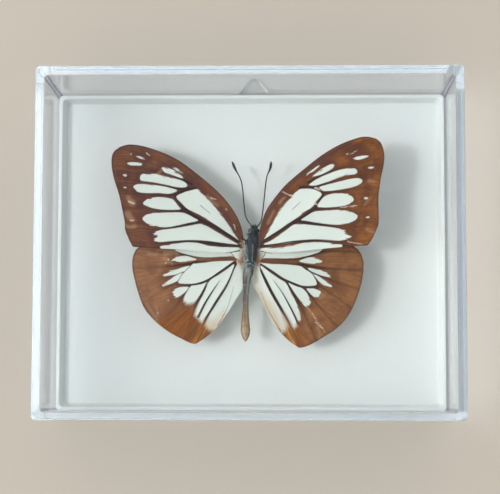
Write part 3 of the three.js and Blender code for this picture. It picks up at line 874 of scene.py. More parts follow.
            [(-16.5, -10.2), (-17.5, -11.5), (-18.6, -13.5), (-18.3, -14.8), (-16.8, -15.2),
             (-15.5, -14.6), (-14.4, -13.2), (-13, -11), (-12, -9.2), (-13.5, -9.7), (-15, -10)],
            [(-4.6, -4.2), (-6.5, -5.5), (-9, -7.2), (-11.4, -8.8), (-12.9, -12), (-14.6, -15.3),
             (-15.4, -17.2), (-15.6, -18.4), (-15, -18.9), (-14.4, -19.6), (-13.6, -20.4),
             (-13, -20), (-11.6, -17.6), (-10, -14.8), (-8.2, -12), (-6.4, -9), (-5, -6)],
            [(-3, -3.6), (-4.3, -5.2), (-6.2, -9), (-8.4, -13), (-10.5, -16.6), (-12, -19.2),
             (-12.6, -20.8), (-12, -22), (-10.6, -22.8), (-8, -22.5), (-6, -19.5), (-4, -16),
             (-2.4, -12), (-1, -8), (-1, -4)],
        ],
        "veins": [
            (0.2, 0.08, [(-4.4, -2.9), (-10, -2.6), (-15.2, -2.4), (-19.5, -1.2), (-26, -0.8),
                         (-32.6, -1.2)]),
            (0.15, 0.08, [(-4.4, -3), (-10, -3.2), (-15, -3.5), (-17, -4), (-24, -4.8),
                          (-33, -5.4)]),
            (0.1, 0.12, [(-16.4, -4.2), (-18.2, -5.9), (-19.4, -7.3), (-20.4, -9), (-20.6, -9.9)]),
            (0.1, 0.08, [(-18.8, -6.3), (-21.5, -7.3), (-26, -8.9), (-32, -10.6)]),
            (0.1, 0.08, [(-20.4, -9.1), (-22.5, -10.2), (-26.5, -12.4), (-30.2, -15.2)]),
            (0.3, 0.2, [(-4.2, -3.3), (-8, -6), (-11.9, -8.6), (-15, -9.7), (-18, -10),
                        (-20.6, -9.9)]),
            (0.12, 0.08, [(-16.8, -10.1), (-18.9, -13), (-21.5, -16.5), (-25.4, -21.2)]),
            (0.14, 0.3, [(-11.9, -8.7), (-13.3, -11.8), (-14.9, -15), (-16.6, -19), (-19, -25)]),
            (0.06, 0.36, [(-8.6, -8.8), (-10.3, -11.3), (-12.6, -15), (-14.6, -19)]),
            (0.17, 0.36, [(-4.2, -4.2), (-6.5, -10), (-9.6, -15), (-12.7, -20), (-15, -25.8)]),
        ],
        "brown": [(0.4, 0.4, [(-4, -2.8), (-10, -2.8), (-15.2, -2.6), (-19.5, -2), (-24, -2.4)])],
        "lines": [
            (0.04, 0.12, [(-4.7, -10.5), (-6.2, -15.8), (-7.8, -19), (-9.2, -21.4)]),
            (0.1, 0.1, [(-5.6, -0.8), (-4.8, -1.8), (-3.9, -3.2)]),
            # painted shade: a dark line where the forewing's rear edge lies over this wing
            (0.16, 0.06, [(-3, -0.3), (-5, -0.7), (-7, -1)]),
        ],
        "pale": [
            (0.2, 0.1, [(-23.9, -3.8), (-23.6, -3.5)]),
            (0.16, 0.16, [(-23.2, -2.9), (-23.1, -2.7)]),
            (0.16, 0.1, [(-23.1, -14.2), (-23, -14.4)]),
            (0.12, 0.1, [(-26, -17.7), (-25.9, -17.9)]),
            (0.1, 0.1, [(-31.2, -11.7), (-30.9, -11.9)]),
            (0.3, 0.2, [(-3.7, -3.2), (-3.5, -4), (-3.3, -5)]),
        ],
        "golden": [
            (0.5, 0.3, [(-28.6, -1), (-27, -1.3), (-26.4, -1)]),
            (0.5, 0.3, [(-24, -0.9), (-22, -0.7), (-20.6, -1.2)]),
            (0.3, 0.15, [(-24.4, -2.4), (-22.9, -3.3), (-22, -4)]),
            (0.15, 0.2, [(-29.4, -15), (-27.8, -17.4), (-26.2, -19.8)]),
            (0.12, 0.15, [(-26.6, -16), (-26, -17.8), (-26.4, -18.8)]),
        ],
        "rust": [(-21.5, -17), (-17.5, -15.8), (-14.5, -18.4), (-12.4, -21), (-10.8, -23),
                 (-12.5, -25.4), (-15, -27.2), (-19, -26.6), (-24, -23.8), (-28, -20.6),
                 (-25, -18.6)],
        "glow": [(-12.9, -20.8), (-11.2, -22.6), (-11.8, -24.6), (-14, -26.6), (-15.4, -26.4),
                 (-14.6, -23.6)],
        "cream": [(-12.6, -20.4), (-9.6, -19.4), (-7.6, -17.2), (-6.6, -19), (-9, -23.4),
                  (-11.6, -24)],
    },
    "hindwing_right": {
        "root_z": 12.55, "rise": 0.02, "rows": (140, 120), "fan": (2.8, -2.8),
        "costa": [(2.3, -0.5), (5, 0.3), (10, 0.9), (17, 1.4), (24, 1.6), (28, 1.2), (30.1, 0)],
        "margin": [
            (31.4, -2.5), (31.6, -5.5), (31, -9.5), (29.4, -14.5), (27.2, -18.8), (24.3, -22),
            (20.6, -24.5), (17, -26.6), (15, -27.4),
        ],
        "rear": [
            (1.2, -4.6), (0.7, -7.6), (1.1, -10.2), (2.4, -12.9), (4.3, -16.9), (6.2, -20.5),
            (8.7, -23.6), (11.4, -26.1), (13.6, -27.6),
        ],
        "white": [
            [(19.8, -0.4), (18.5, -1.3), (16, -1.9), (13, -2.4), (10, -2.6), (6, -2.5), (4, -2.5),
             (3.2, -2.8), (1.8, -3.2), (1.2, 0), (10, 2.4), (19, 2.4), (20.6, 0.6)],
            [(13.7, -3.3), (15.5, -2.5), (17.5, -2.3), (19.8, -3.2), (19.5, -3.9), (17.5, -4.1),
             (15.5, -3.9)],
            [(2.5, -3.8), (6, -4.1), (10, -4.3), (14, -4.8), (15.5, -5.8), (17, -6.7), (18, -8.2),
             (18.5, -9.3), (18.3, -10.1), (16, -10.4), (14, -10.1), (11.5, -9.1), (9, -8),
             (6.5, -6.2), (4, -4.6)],
            [(16.5, -5.3), (19.5, -5.9), (21.5, -6.8), (22.8, -7.9), (20.5, -7.6), (18.5, -6.9),
             (16.5, -5.9)],
            [(17.2, -6.8), (19, -7.6), (21, -9), (22.9, -10.8), (21, -10.3), (19.3, -9.2),
             (18.2, -7.9)],
            [(15.7, -11.1), (17.5, -11), (19, -11.6), (19.7, -12.2), (18.8, -13.4), (18, -13.5),
             (16.8, -12.6)],
            [(10.6, -9.3), (12.5, -10.2), (14.5, -11), (15.7, -12.2), (16.5, -13.8), (16.8, -15.2),
             (15.6, -16.1), (14.5, -15), (13.3, -13.6), (12, -11.7)],
            [(3, -4.6), (5.5, -6.5), (8.2, -8.4), (10, -9.6), (11.3, -12.2), (12.6, -14.6),
             (13.4, -16.6), (14, -19), (13.9, -20), (13.1, -20.3), (12.8, -21.6), (12.2, -22),
             (11.6, -21.2), (10, -18.4), (8, -14.9), (6, -11.3), (4.6, -8.4), (3.2, -5.8)],
            [(2, -4.6), (3.3, -7.5), (4.7, -10.6), (6.4, -13.8), (8.2, -16.9), (9.6, -19.6),
             (10.2, -21.5), (9.6, -22.8), (8.4, -23.4), (6.5, -21.5), (4.5, -18.5), (2.2, -15),
             (0, -11), (0, -5)],
        ],
        "veins": [
            (0.2, 0.08, [(3.3, -3.1), (8, -3), (13, -3.1), (16, -2.1), (20, -0.9), (25, -0.6),
                         (31, -1)]),
            (0.2, 0.08, [(3.3, -3.2), (8, -3.7), (13.5, -4.2), (16.5, -4.8), (23, -5.6),
                         (31.6, -6)]),
            (0.07, 0.18, [(14.6, -5.1), (16.2, -6.1), (17.4, -7), (18.4, -8.6), (18.9, -9.8),
                          (18.7, -10.6)]),
            (0.12, 0.08, [(17, -6.6), (19.5, -7.5), (24, -9.4), (30.8, -11.6)]),
            (0.12, 0.08, [(18.8, -10), (20.5, -11.2), (24.5, -14), (28.6, -17)]),
            (0.14, 0.3, [(2.6, -3.9), (6, -6.2), (9.2, -8.3), (12, -9.8), (15, -10.7),
                         (18.7, -10.7)]),
            (0.14, 0.08, [(15.4, -11), (17, -13.3), (19.5, -16.5), (24.4, -22)]),
            (0.13, 0.2, [(10.2, -9.1), (11.8, -11.8), (13.1, -14.3), (15, -18), (18.4, -25.6)]),
            (0.05, 0.32, [(6.4, -8.8), (8.6, -11.7), (10.5, -15), (12.2, -18.3), (13.4, -21)]),
            (0.16, 0.24, [(2.3, -4.6), (4.6, -9.6), (6.6, -13.2), (9, -17.4), (11, -21),
                          (13.4, -26.6)]),
        ],
        "brown": [(0.4, 0.4, [(3, -3.1), (8, -3.3), (13, -3.6), (16.5, -3), (20, -2.4), (24, -3)])],
        "lines": [
            (0.04, 0.14, [(3, -12), (5, -17), (7, -20.5), (8.6, -23)]),
            (0.1, 0.1, [(4.2, -1.1), (3.6, -2.2), (2.9, -3.2)]),
            # painted shade: a dark line where the forewing's rear edge lies over this wing
            (0.06, 0.12, [(6.2, -1.1), (4.6, -0.9), (3, -0.5)]),
        ],
        "pale": [
            (0.2, 0.25, [(6.4, -18.2), (6.6, -18.9)]),
            (0.15, 0.15, [(18.2, -20.4), (18.9, -21.2)]),
            (0.12, 0.2, [(19.2, -21.5), (20.2, -22.1)]),
            (0.08, 0.08, [(17.2, -17.8), (18.4, -19.9), (19.8, -21.6), (20.8, -23.2)]),
            (0.08, 0.08, [(15.2, -15.4), (16.8, -17.4)]),
            (0.3, 0.2, [(2.5, -3.9), (2.4, -4.6), (2.6, -5.4)]),
        ],
        "golden": [
            (0.25, 0.15, [(16, -16.6), (17.2, -18.2), (18, -19.2)]),
            (0.3, 0.15, [(19.6, -12.6), (20.4, -13.2), (19.2, -13.8)]),
            (0.12, 0.12, [(18.6, -21.8), (19.4, -23.6), (19.2, -24.8)]),
        ],
        "rust": [(9, -19.4), (11, -20.6), (12.6, -21.4), (13.8, -22), (15, -25), (15.4, -27.6),
                 (12.6, -28), (9.6, -25.4), (8.2, -22.2)],
        "glow": [(10, -20.8), (11, -21.8), (12.4, -24.4), (13.2, -26.6), (11.6, -26.4),
                 (9.8, -23.6)],
        "cream": [(3.4, -11.6), (7, -16.4), (9.4, -20.4), (10, -22.6), (8, -24), (5, -20),
                  (0.4, -13), (0.2, -9.5), (1.4, -9)],
    },
}

MEMBRANE = 0.12
CAMBER = 0.4  # how far a wing's middle bulges upwards
FAN_REACH = 33
FAN_ANGLE = 1.6


def catmull_rom(points, steps, closed=False):
    """The smooth curve through the points, with steps pieces between each two."""
    points = np.array(points, float)
    if closed:
        ring = np.concatenate([points[-1:], points, points[:2]])
    else:
        ring = np.concatenate([points[:1], points, points[-1:]])
    t = np.arange(steps)[:, None] / steps
    curve = []
    for a, b, c, d in zip(ring, ring[1:], ring[2:], ring[3:]):
        out, into = (c - a) / 2, (d - b) / 2
        cubed = 2 * b - 2 * c + out + into
        squared = 3 * c - 3 * b - 2 * out - into
        curve.append(cubed * t**3 + squared * t**2 + out * t + b)
    return np.concatenate(curve if closed else [*curve, points[-1:]])


def lengths_along(curve):
    steps = np.linalg.norm(np.diff(curve, axis=0), axis=1)
    return np.concatenate([[0], np.cumsum(steps)])


def points_at(curve, where):
    """The points at the given lengths along the curve."""
    lengths = lengths_along(curve)
    return np.stack([np.interp(where, lengths, column) for column in curve.T], axis=1)


def evenly(curve, count):
    """count + 1 points, evenly spaced along the curve."""
    return points_at(curve, np.linspace(0, lengths_along(curve)[-1], count + 1))


def near(points, a, b):
    """The distance of each point to the stretch a..b, and where along it the nearest point is."""
    along = b - a
    share = np.clip((points - a) @ along / max(along @ along, 1e-12), 0, 1)
    return np.linalg.norm(points - a - share[:, None] * along, axis=1), share


def reach_into(points, outline):
    """How far inside the closed outline each point is, and less than zero outside."""
    distance = np.full(len(points), 1e9)
    inside = np.zeros(len(points), bool)
    for a, b in zip(outline, np.roll(outline, -1, axis=0)):
        distance = np.minimum(distance, near(points, a, b)[0])
        if a[1] != b[1]:
            crosses = (a[1] > points[:, 1]) != (b[1] > points[:, 1])
            inside ^= crosses & (
                points[:, 0] < (b[0] - a[0]) * (points[:, 1] - a[1]) / (b[1] - a[1]) + a[0]
            )
    return np.where(inside, distance, -distance)


def reach_of_strokes(points, strokes):
    """How far inside the nearest stroke each point is. A stroke has half widths at its two ends."""
    reach = np.full(len(points), -1e3)
    for first, last, path in strokes:
        curve = catmull_rom(path, 6)
        pieces = len(curve) - 1
        for i in range(pieces):
            distance, share = near(points, curve[i], curve[i + 1])
            half = first + (last - first) * (i + share) / pieces
            reach = np.maximum(reach, half - distance)
    return reach


def reach_of_patches(points, patches):
    reach = np.full(len(points), -1e3)
    for outline in patches:
        reach = np.maximum(reach, reach_into(points, catmull_rom(outline, 6, closed=True)))
    return reach


def keep_numbers(mesh, name, values):
    mesh.attributes.new(name, "FLOAT", "POINT").data.foreach_set("value", values)


def wing_plan(wing, out, up):
    """Where the membrane's corners lie, seen from above, between the wing's four edges, and its
    outline. out and up count the corners' rows from the body and from the rear edge, and t and s
    are the same as shares."""
    along, across = wing["rows"]
    costa = evenly(catmull_rom(wing["costa"], 40), along)
    rear = evenly(catmull_rom(wing["rear"], 40), along)
    edge = [wing["costa"][-1], *wing["margin"], wing["rear"][-1]]
    margin = evenly(catmull_rom(edge, 40), across)[::-1]
    t = (out / along)[:, None]
    s = (up / across)[:, None]
    plan = (
        rear[out] * (1 - s) + costa[out] * s + margin[up] * t
        - rear[-1] * (1 - s) * t - costa[-1] * s * t
    )
    return plan, np.concatenate([rear, margin[1:], costa[::-1]])


def wing_marks(wing, plan, outline):
    """How far inside each kind of marking the corners are."""
    marks = {
        "white": reach_of_patches(plan, wing["white"]),
        "line": reach_of_strokes(plan, wing["veins"] + wing["lines"]),
        "vein": reach_of_strokes(plan, wing["veins"]),
        "rim": np.abs(reach_into(plan, outline)),
    }
    for stroke in ("pale", "golden", "brown"):
        marks[stroke] = reach_of_strokes(plan, wing.get(stroke, []))
    for zone in ("rust", "glow", "cream"):
        marks[zone] = reach_of_patches(plan, [wing[zone]] if zone in wing else [])
    return marks


def rows_of_scales(wing, plan, t, s):
    """Places along and across the rows: fanned out on a hindwing, along the patch on a forewing."""
    if "fan" not in wing:
        return t, s
    spread = plan - np.array(wing["fan"])
    away = np.linalg.norm(spread, axis=1) / FAN_REACH
    return away, np.arctan2(spread[:, 1], np.abs(spread[:, 0])) / FAN_ANGLE + 1


def make_wing(name, wing, material, slot_name):
    """A thin membrane with raised veins. Its markings are kept as distances in millimetres, which
    the material reads."""
    along, across = wing["rows"]
    nothing_selected()
    bpy.ops.mesh.primitive_grid_add(x_subdivisions=along, y_subdivisions=across, size=1)
    piece = named_at_origin(f"{name}_membrane")
    mesh = piece.data
    flat = np.empty(len(mesh.vertices) * 3)
    mesh.vertices.foreach_get("co", flat)
    grid = flat.reshape(-1, 3)
    out = np.round((grid[:, 0] + 0.5) * along).astype(int)
    up = np.round((grid[:, 1] + 0.5) * across).astype(int)
    t, s = out / along, up / across
    plan, outline = wing_plan(wing, out, up)
    marks = wing_marks(wing, plan, outline)
    bulge = CAMBER * 4 * s * (1 - s) * np.minimum(1, 3 * t)
    raised = np.maximum(marks["vein"], reach_of_strokes(plan, wing.get("ribs", [])))
    ridge = 0.09 * np.exp(-((np.minimum(raised, 0) / 0.22) ** 2))
    fold = 0.05 * np.clip(-raised / 1.5, 0, 1) * np.minimum(1, marks["rim"])
    level = wing["root_z"] + wing["rise"] * np.abs(plan[:, 0]) + bulge + ridge - fold
    placed = np.stack([plan[:, 0], plan[:, 1] + CASE_Y, level], axis=1) * MM
    mesh.vertices.foreach_set("co", placed.ravel())
    away, around = rows_of_scales(wing, plan, t, s)
    for label, values in {**marks, "out": t, "away": away, "around": around}.items():
        keep_numbers(mesh, label, values)
    if plan[:, 0].mean() < 0:
        edit(piece)
        bpy.ops.mesh.select_all(action="SELECT")
        bpy.ops.mesh.flip_normals()
        leave()
    work_on(piece)
    thick = piece.modifiers.new("membrane", "SOLIDIFY")
    thick.thickness = MEMBRANE * MM
    thick.offset = 0
    bpy.ops.object.modifier_apply(modifier=thick.name)
    smooth_faces(piece, 50)
    finish_piece(piece, material, slot_name, name)
    top = placed / MM - np.array([0, CASE_Y, 0])
    outer = np.flatnonzero(out == along)
    inner = np.flatnonzero(up == 0)
    return {
        "margin": top[outer[np.argsort(up[outer])]],
        "rear": top[inner[np.argsort(out[inner])]],
        "middle": top.mean(axis=0),
    }


WING_COLOURS = {  # paints, and how dark the veins are near the margin
    "forewing_left": {
        "Field": (110, 63, 42), "Field Warm": (136, 88, 60), "Field Dusky": (100, 66, 58),
        "Between": (80, 47, 40), "Vein Dark": (50, 32, 29), "Outer Veins": 0.12,
    },
    "forewing_right": {
        "Field": (130, 74, 30), "Field Warm": (152, 95, 44), "Field Dusky": (102, 57, 32),
        "Between": (84, 47, 32), "Vein Dark": (50, 32, 28), "Outer Veins": 0.1,
        "Glow": (102, 64, 50),
    },
    "hindwing_left": {
        "Field": (146, 98, 66), "Field Warm": (160, 114, 79), "Field Dusky": (124, 82, 58),
        "Between": (104, 62, 36), "Vein Dark": (54, 36, 30), "Outer Veins": 0.16,
        "Rust": (148, 84, 24), "Glow": (198, 128, 50),
    },
    "hindwing_right": {
        "Field": (140, 92, 55), "Field Warm": (154, 107, 66), "Field Dusky": (116, 73, 47),
        "Between": (112, 68, 40), "Vein Dark": (54, 36, 30), "Outer Veins": 0.34,
        "Rust": (164, 98, 30), "Glow": (208, 146, 70),
    },
}
WING_WHITE = (225, 232, 223)


def make_wings():
    """The four wings. Gives back their outer and rear edges."""
    scales = wing_scales_group()
    edges = {}
    for name, wing in WINGS.items():
        kind, side = name.split("_")
        material = wing_material(f"{kind}_scales_{side}", scales, WING_COLOURS[name])
        edges[name] = make_wing(name, wing, material, f"{kind}_scales")
    return edges


# Body.

HEAD = (0.95, 5.15, 12.9)
HEAD_HALF = (1.3, 1.25, 1.4)
EYE_RADIUS = 0.62
EYE_SPREAD = 1.05
THORAX = [  # middle, half width and half height of each ring, from the neck to the waist
    (0.84, 4.7, 12.8, 0.95, 0.95), (0.82, 4.2, 12.82, 1.25, 1.25), (0.76, 3.4, 12.88, 1.42, 1.45),
    (0.68, 2.8, 12.9, 1.46, 1.5), (0.62, 2.4, 12.9, 1.44, 1.5), (0.5, 1.8, 12.95, 1.5, 1.65),
    (0.3, 0.7, 13, 1.62, 1.82), (0.1, -0.7, 12.98, 1.68, 1.86), (-0.05, -1.8, 12.92, 1.64, 1.82),
    (-0.14, -2.5, 12.88, 1.54, 1.7), (-0.22, -3.3, 12.82, 1.56, 1.68),
    (-0.3, -4.2, 12.76, 1.42, 1.5), (-0.36, -4.9, 12.72, 1.2, 1.25), (-0.38, -5.4, 12.7, 0.8, 0.8),
]
ABDOMEN_PATH = [
    (-0.4, -4.9, 12.7), (-0.5, -5.75, 12.7), (-1.05, -9, 12.7), (-1.25, -14, 12.6),
    (-1.4, -20, 12.7), (-1.3, -25.9, 12.8),
]
ABDOMEN_HALF = [  # along y, its half thickness
    (-4.9, 0.9), (-5.8, 1.12), (-6.8, 1.0), (-8.6, 0.76), (-11.5, 0.57), (-14.5, 0.53),
    (-17.3, 0.62), (-20.2, 0.82), (-22.4, 1.0), (-23.8, 0.88), (-24.9, 0.56), (-25.9, 0.14),
]
SEGMENTS = [-5.4, -7.3, -9.8, -12.6, -15.6, -18.6, -21.2, -23.4, -24.9]  # front edges, by y
FEELERS = {
    "left": [
        (0.62, 5.9, 13.1), (0.25, 6.65, 13.2), (-0.9, 8.3, 12.9), (-1.5, 10, 12.7),
        (-1.85, 13, 12.4), (-2.3, 17.5, 12), (-2.85, 20.1, 11.8), (-4.3, 22.9, 11.7),
        (-5.3, 25.2, 11.7),
    ],
    "right": [
        (1.5, 5.9, 13), (2, 6.5, 13), (2.95, 7.9, 12.6), (3.35, 10, 12.5), (3.8, 14, 12.3),
        (4.2, 18, 12.1), (4.65, 21, 11.9), (5.55, 23.2, 11.8), (5.8, 25.2, 11.7),
    ],
}
LEGS = {  # y of the hip, and how far ahead of it the knee and the toe are
    "front": (2.3, 1.2, 2.2), "middle": (0.6, 0.6, -1.6), "hind": (-1.6, -0.4, -2.2),
}
LEG_SPINES = 26


def loft(name, stations, sides):
    """A closed skin over rings that stand square to y: (x, y, z, half width, half height)."""
    x, y, z, wide, high = stations[0]
    nothing_selected()
    bpy.ops.mesh.primitive_circle_add(
        vertices=sides, radius=MM, fill_type="NGON", location=place(x, y, z),
        rotation=(math.pi / 2, 0, 0), scale=(wide, high, 1),
    )
    piece = named_at_origin(name)
    edit(piece)
    bpy.ops.mesh.select_all(action="SELECT")
    for before, after in zip(stations, stations[1:]):
        extrude(*(new - old for new, old in zip(after[:3], before[:3])))
        bpy.ops.transform.resize(
            value=(after[3] / before[3], 1, after[4] / before[4]), center_override=place(*after[:3])
        )
    face_outwards()
    leave()
    return piece


def tube(name, path, halves, sides, closed=False):
    """A round skin along the path, with its own half thickness at each point."""
    line = bpy.data.curves.new(name, "CURVE")
    line.dimensions = "3D"
    spline = line.splines.new("POLY")
    spline.points.add(len(path) - 1)
    for point, at, half in zip(spline.points, path, halves):
        point.co = (*place(*at), 1)
        point.radius = half
    spline.use_cyclic_u = closed
    line.bevel_depth = MM
    line.bevel_resolution = sides // 4
    line.use_fill_caps = not closed
    holder = bpy.data.objects.new(name, line)
    bpy.context.collection.objects.link(holder)
    work_on(holder)
    bpy.ops.object.convert(target="MESH")
    piece = named_at_origin(name)
    edit(piece)
    face_outwards()
    leave()
    return piece


def path_through(points, spacing):
    """Points about spacing apart on the smooth curve through the given ones."""
    curve = catmull_rom(points, 24)
    return evenly(curve, max(2, round(lengths_along(curve)[-1] / spacing)))


def ball(name, middle, halves, rings=16):
    nothing_selected()
    bpy.ops.mesh.primitive_uv_sphere_add(
        segments=2 * rings, ring_count=rings, radius=MM, location=place(*middle), scale=halves
    )
    return named_at_origin(name)


def hair_pattern():
    """One hair: the corners and faces of a slim cone, one unit long, that can bend halfway."""
    nothing_selected()
    bpy.ops.mesh.primitive_cone_add(vertices=3, radius1=1, depth=1, location=(0, 0, 0.5))
    hair = named_at_origin("hair")
    edit(hair)
    bpy.ops.mesh.select_all(action="SELECT")
    bpy.ops.mesh.bisect(plane_co=(0, 0, 0.45), plane_no=(0, 0, 1))
    leave()
    corners = np.array([corner.co for corner in hair.data.vertices])
    faces = [list(face.vertices) for face in hair.data.polygons]
    bpy.data.objects.remove(hair)
    return corners, faces


def unit(vectors):
    return vectors / np.linalg.norm(vectors, axis=-1, keepdims=True)


def grow(name, coat, thickness, material, slot_name):
    """Copies of the one hair as one piece. The coat gives each hair's root, way, bend of the tip,
    length and tint, in millimetres."""
    corners, faces = hair_pattern()
    roots, ways, bends, lengths, tints = coat
    ways = unit(ways)
    aside = unit(np.cross(ways, (0.31, 0.17, 0.93)))
    above = np.cross(ways, aside)
    a, b, c = corners.T[:, None, :, None]
    lengths = lengths[:, None, None]
    at = roots[:, None] + thickness / 2 * (aside[:, None] * a + above[:, None] * b)
    at = at + lengths * (ways[:, None] * c + bends[:, None] * c**2)
    at = (at + np.array([0, CASE_Y, 0])).reshape(-1, 3) * MM
    count = len(roots)
    starts = range(0, count * len(corners), len(corners))
    copies = [[start + corner for corner in face] for start in starts for face in faces]
    mesh = bpy.data.meshes.new(name)
    mesh.from_pydata(at.tolist(), [], copies)
    keep_numbers(mesh, "tint", np.repeat(tints, len(corners)))
    keep_numbers(mesh, "tip", np.tile(corners[:, 2], count))
    piece = bpy.data.objects.new(name, mesh)
    bpy.context.collection.objects.link(piece)
    smooth_faces(piece, 80)
    finish_piece(piece, material, slot_name)
    return piece


def scatter(piece, count, chance):
    """Seeded places on the piece's skin, and the normals there."""
    mesh = piece.data
    mesh.calc_loop_triangles()
    corners = np.array([in_case(corner.co) for corner in mesh.vertices])
    triangles = np.array([triangle.vertices for triangle in mesh.loop_triangles])
    a, b, c = (corners[triangles[:, k]] for k in range(3))
    normals = np.cross(b - a, c - a)
    areas = np.linalg.norm(normals, axis=1)
    chosen = chance.choice(len(areas), count, p=areas / areas.sum())
    u, v = chance.random((2, count, 1))
    over = u + v > 1
    u, v = np.where(over, 1 - u, u), np.where(over, 1 - v, v)
    places = a[chosen] + u * (b[chosen] - a[chosen]) + v * (c[chosen] - a[chosen])
    return places, unit(normals[chosen])


def step(values, low, high):
    t = np.clip((values - low) / (high - low), 0, 1)
    return t * t * (3 - 2 * t)


def coat_of(piece, count, seed, comb, lift, length, tint_at):
    """Hairs all over the piece, combed one way and lifted off the skin, with drooping ends."""
    chance = np.random.default_rng(seed)
    places, normals = scatter(piece, count, chance)
    comb = unit(np.array(comb, float))
    ways = unit(normals * lift + comb * (1 - lift) + chance.normal(0, 0.16, (count, 3)))
    bends = comb * 0.3 + chance.normal(0, 0.12, (count, 3))
    lengths = length * chance.uniform(0.6, 1.25, count)
    tints = np.clip(tint_at(*places.T) + chance.normal(0, 0.22, count), 0, 1)
    return places - 0.06 * normals, ways, bends, lengths, tints


def tuft(middle, spread, way, length, count, seed, tint):
    """A loose bunch of hairs that fans out from one place."""
    chance = np.random.default_rng(seed)
    roots = np.array(middle) + chance.normal(0, 1, (count, 3)) * np.array(spread)
    ways = unit(unit(np.array(way, float)) + chance.normal(0, 0.3, (count, 3)))
    bends = chance.normal(0, 0.22, (count, 3)) - np.array([0, 0.05, 0.15])
    lengths = length * chance.uniform(0.5, 1.2, count)
    return roots, ways, bends, lengths, np.clip(tint + chance.normal(0, 0.2, count), 0, 1)


def together(coats):
    return [np.concatenate(parts) for parts in zip(*coats)]


def thorax_tint(x, y, z):
    """How pale the hair is: dark along the back, paler on the left flank (partly painted light from
    the lamp on that side), in a streak along the right one, in curved bands at the waist, and on
    the left shoulder."""
    # Painted light in part: the left flank and left shoulder are paler partly because the lamp
    # falls from the left.
    left = step(-x, 0.3, 1.0) * step(-y, -2.2, -0.6)
    left = left * (0.72 + 0.34 * np.sin(4.6 * y + 2.2 * x) * np.sin(2.1 * y - 5 * x + 1))
    streak = np.exp(-(((x - 0.66 - 0.05 * y) / 0.17) ** 2))
    streak = streak * step(y, -3.8, -2.8) * step(-y, -1.9, -1)
    waist = step(-y, 2.4, 3.8) * 0.62
    bands = waist * (0.55 + 1.5 * np.cos((y + 0.34 * (x + 0.1) ** 2 + 4.95) * 6.3))
    shoulder = 0.42 * step(-x + 0.12 * y, 0.1, 0.6) * step(y, 1.6, 3)
    return np.clip(0.08 + 0.92 * left + 0.8 * streak + bands + shoulder, 0, 1)


def head_tint(x, y, z):
    return 0.12 + 0.75 * step(-x, -0.7, 0) * step(-y, -6.4, -5.6)


def even_tint(tint):
    return lambda x, y, z: np.full(len(x), tint)


def make_mouth(horn):
    """Two palps with the coiled tongue between them, as one piece."""
    palps = []
    for side in (-1, 1):
        x = HEAD[0] + 0.1 + side * 0.32
        path = path_through([
            (x, 5.7, 11.95), (x + side * 0.03, 6.25, 12.1), (x, 6.62, 12.6),
            (x - side * 0.05, 6.72, 13.1), (x - side * 0.08, 6.85, 13.4),
        ], 0.12)
        t = np.linspace(0, 1, len(path))
        swell = np.sin(np.pi * np.clip(t * 0.9 + 0.1, 0, 1)) ** 0.7
        halves = 0.06 + 0.2 * swell * (1 - 0.3 * (t > 0.62))
        palps.append(tube("palps", path, halves, 12))
    turns = np.linspace(0, 2.4 * 2 * math.pi, 70)
    reach = 0.16 + 0.055 * turns / math.pi
    coil = [
        (HEAD[0] + 0.1, HEAD[1] + 0.55 + r * math.cos(a), HEAD[2] - 1.5 + r * math.sin(a))
        for r, a in zip(reach, turns)
    ]
    tongue = tube("tongue", coil, np.linspace(0.035, 0.06, len(coil)), 8)
    work_on(palps[0])
    palps[1].select_set(True)
    tongue.select_set(True)
    bpy.ops.object.join()
    smooth_faces(palps[0], 60)
    finish_piece(palps[0], horn, "horn")
    return palps[0]


def make_head(skin, fur, horn, eye):
    """A furry ball with an eye let into each side."""
    head = ball("head_skin", HEAD, HEAD_HALF, 14)
    edit(head)
    pick_faces(lambda x, y, z, normal: normal.y > 0.75 and normal.z < 0.2)
    inset(0.12)
    extrude(y=0.1, z=-0.12)
    pick_faces(lambda x, y, z, normal: normal.z > 0.93)
    inset(0.1)
    extrude(y=0.12, z=0.06)
    face_outwards()
    leave()
    subdivide_smoothly(head, 1)
    for side, name in ((-1, "left"), (1, "right")):
        middle = (HEAD[0] + side * EYE_SPREAD, HEAD[1] + 0.15, HEAD[2] - 0.3)
        combine(head, ball("socket", middle, [EYE_RADIUS + 0.03] * 3), "DIFFERENCE")
        nothing_selected()
        bpy.ops.mesh.primitive_ico_sphere_add(
            subdivisions=4, radius=EYE_RADIUS * MM, location=place(*middle), scale=(0.92, 1, 1)
        )
        bulb = named_at_origin(f"eye_{name}_bulb")
        edit(bulb)
        pick_faces(lambda x, y, z, normal, side=side: normal.x * side < -0.7)
        bpy.ops.transform.resize(value=(0.9, 1, 1), center_override=place(*middle))
        leave()
        smooth_faces(bulb, 60)
        finish_piece(bulb, eye, "eye", f"eye_{name}")
    smooth_faces(head, 60)
    finish_piece(head, skin, "body_hair", "head")
    mouth = make_mouth(horn)
    coats = [
        coat_of(head, 1300, 11, (0, -0.7, 0.7), 0.6, 0.45, head_tint),
        coat_of(mouth, 260, 12, (0.05, 1, 0.3), 0.5, 0.3, even_tint(0.16)),
        tuft((HEAD[0] + 0.4, 6.25, 13.1), (0.14, 0.12, 0.15), (0.1, 0.9, 0.5), 0.55, 60, 13, 0.2),
        tuft((HEAD[0] - 0.6, 5.3, 13.75), (0.2, 0.35, 0.1), (-0.3, 0.3, 1), 0.6, 90, 14, 0.55),
    ]
    grow("head_hair", together(coats), 0.075, fur, "body_hair")


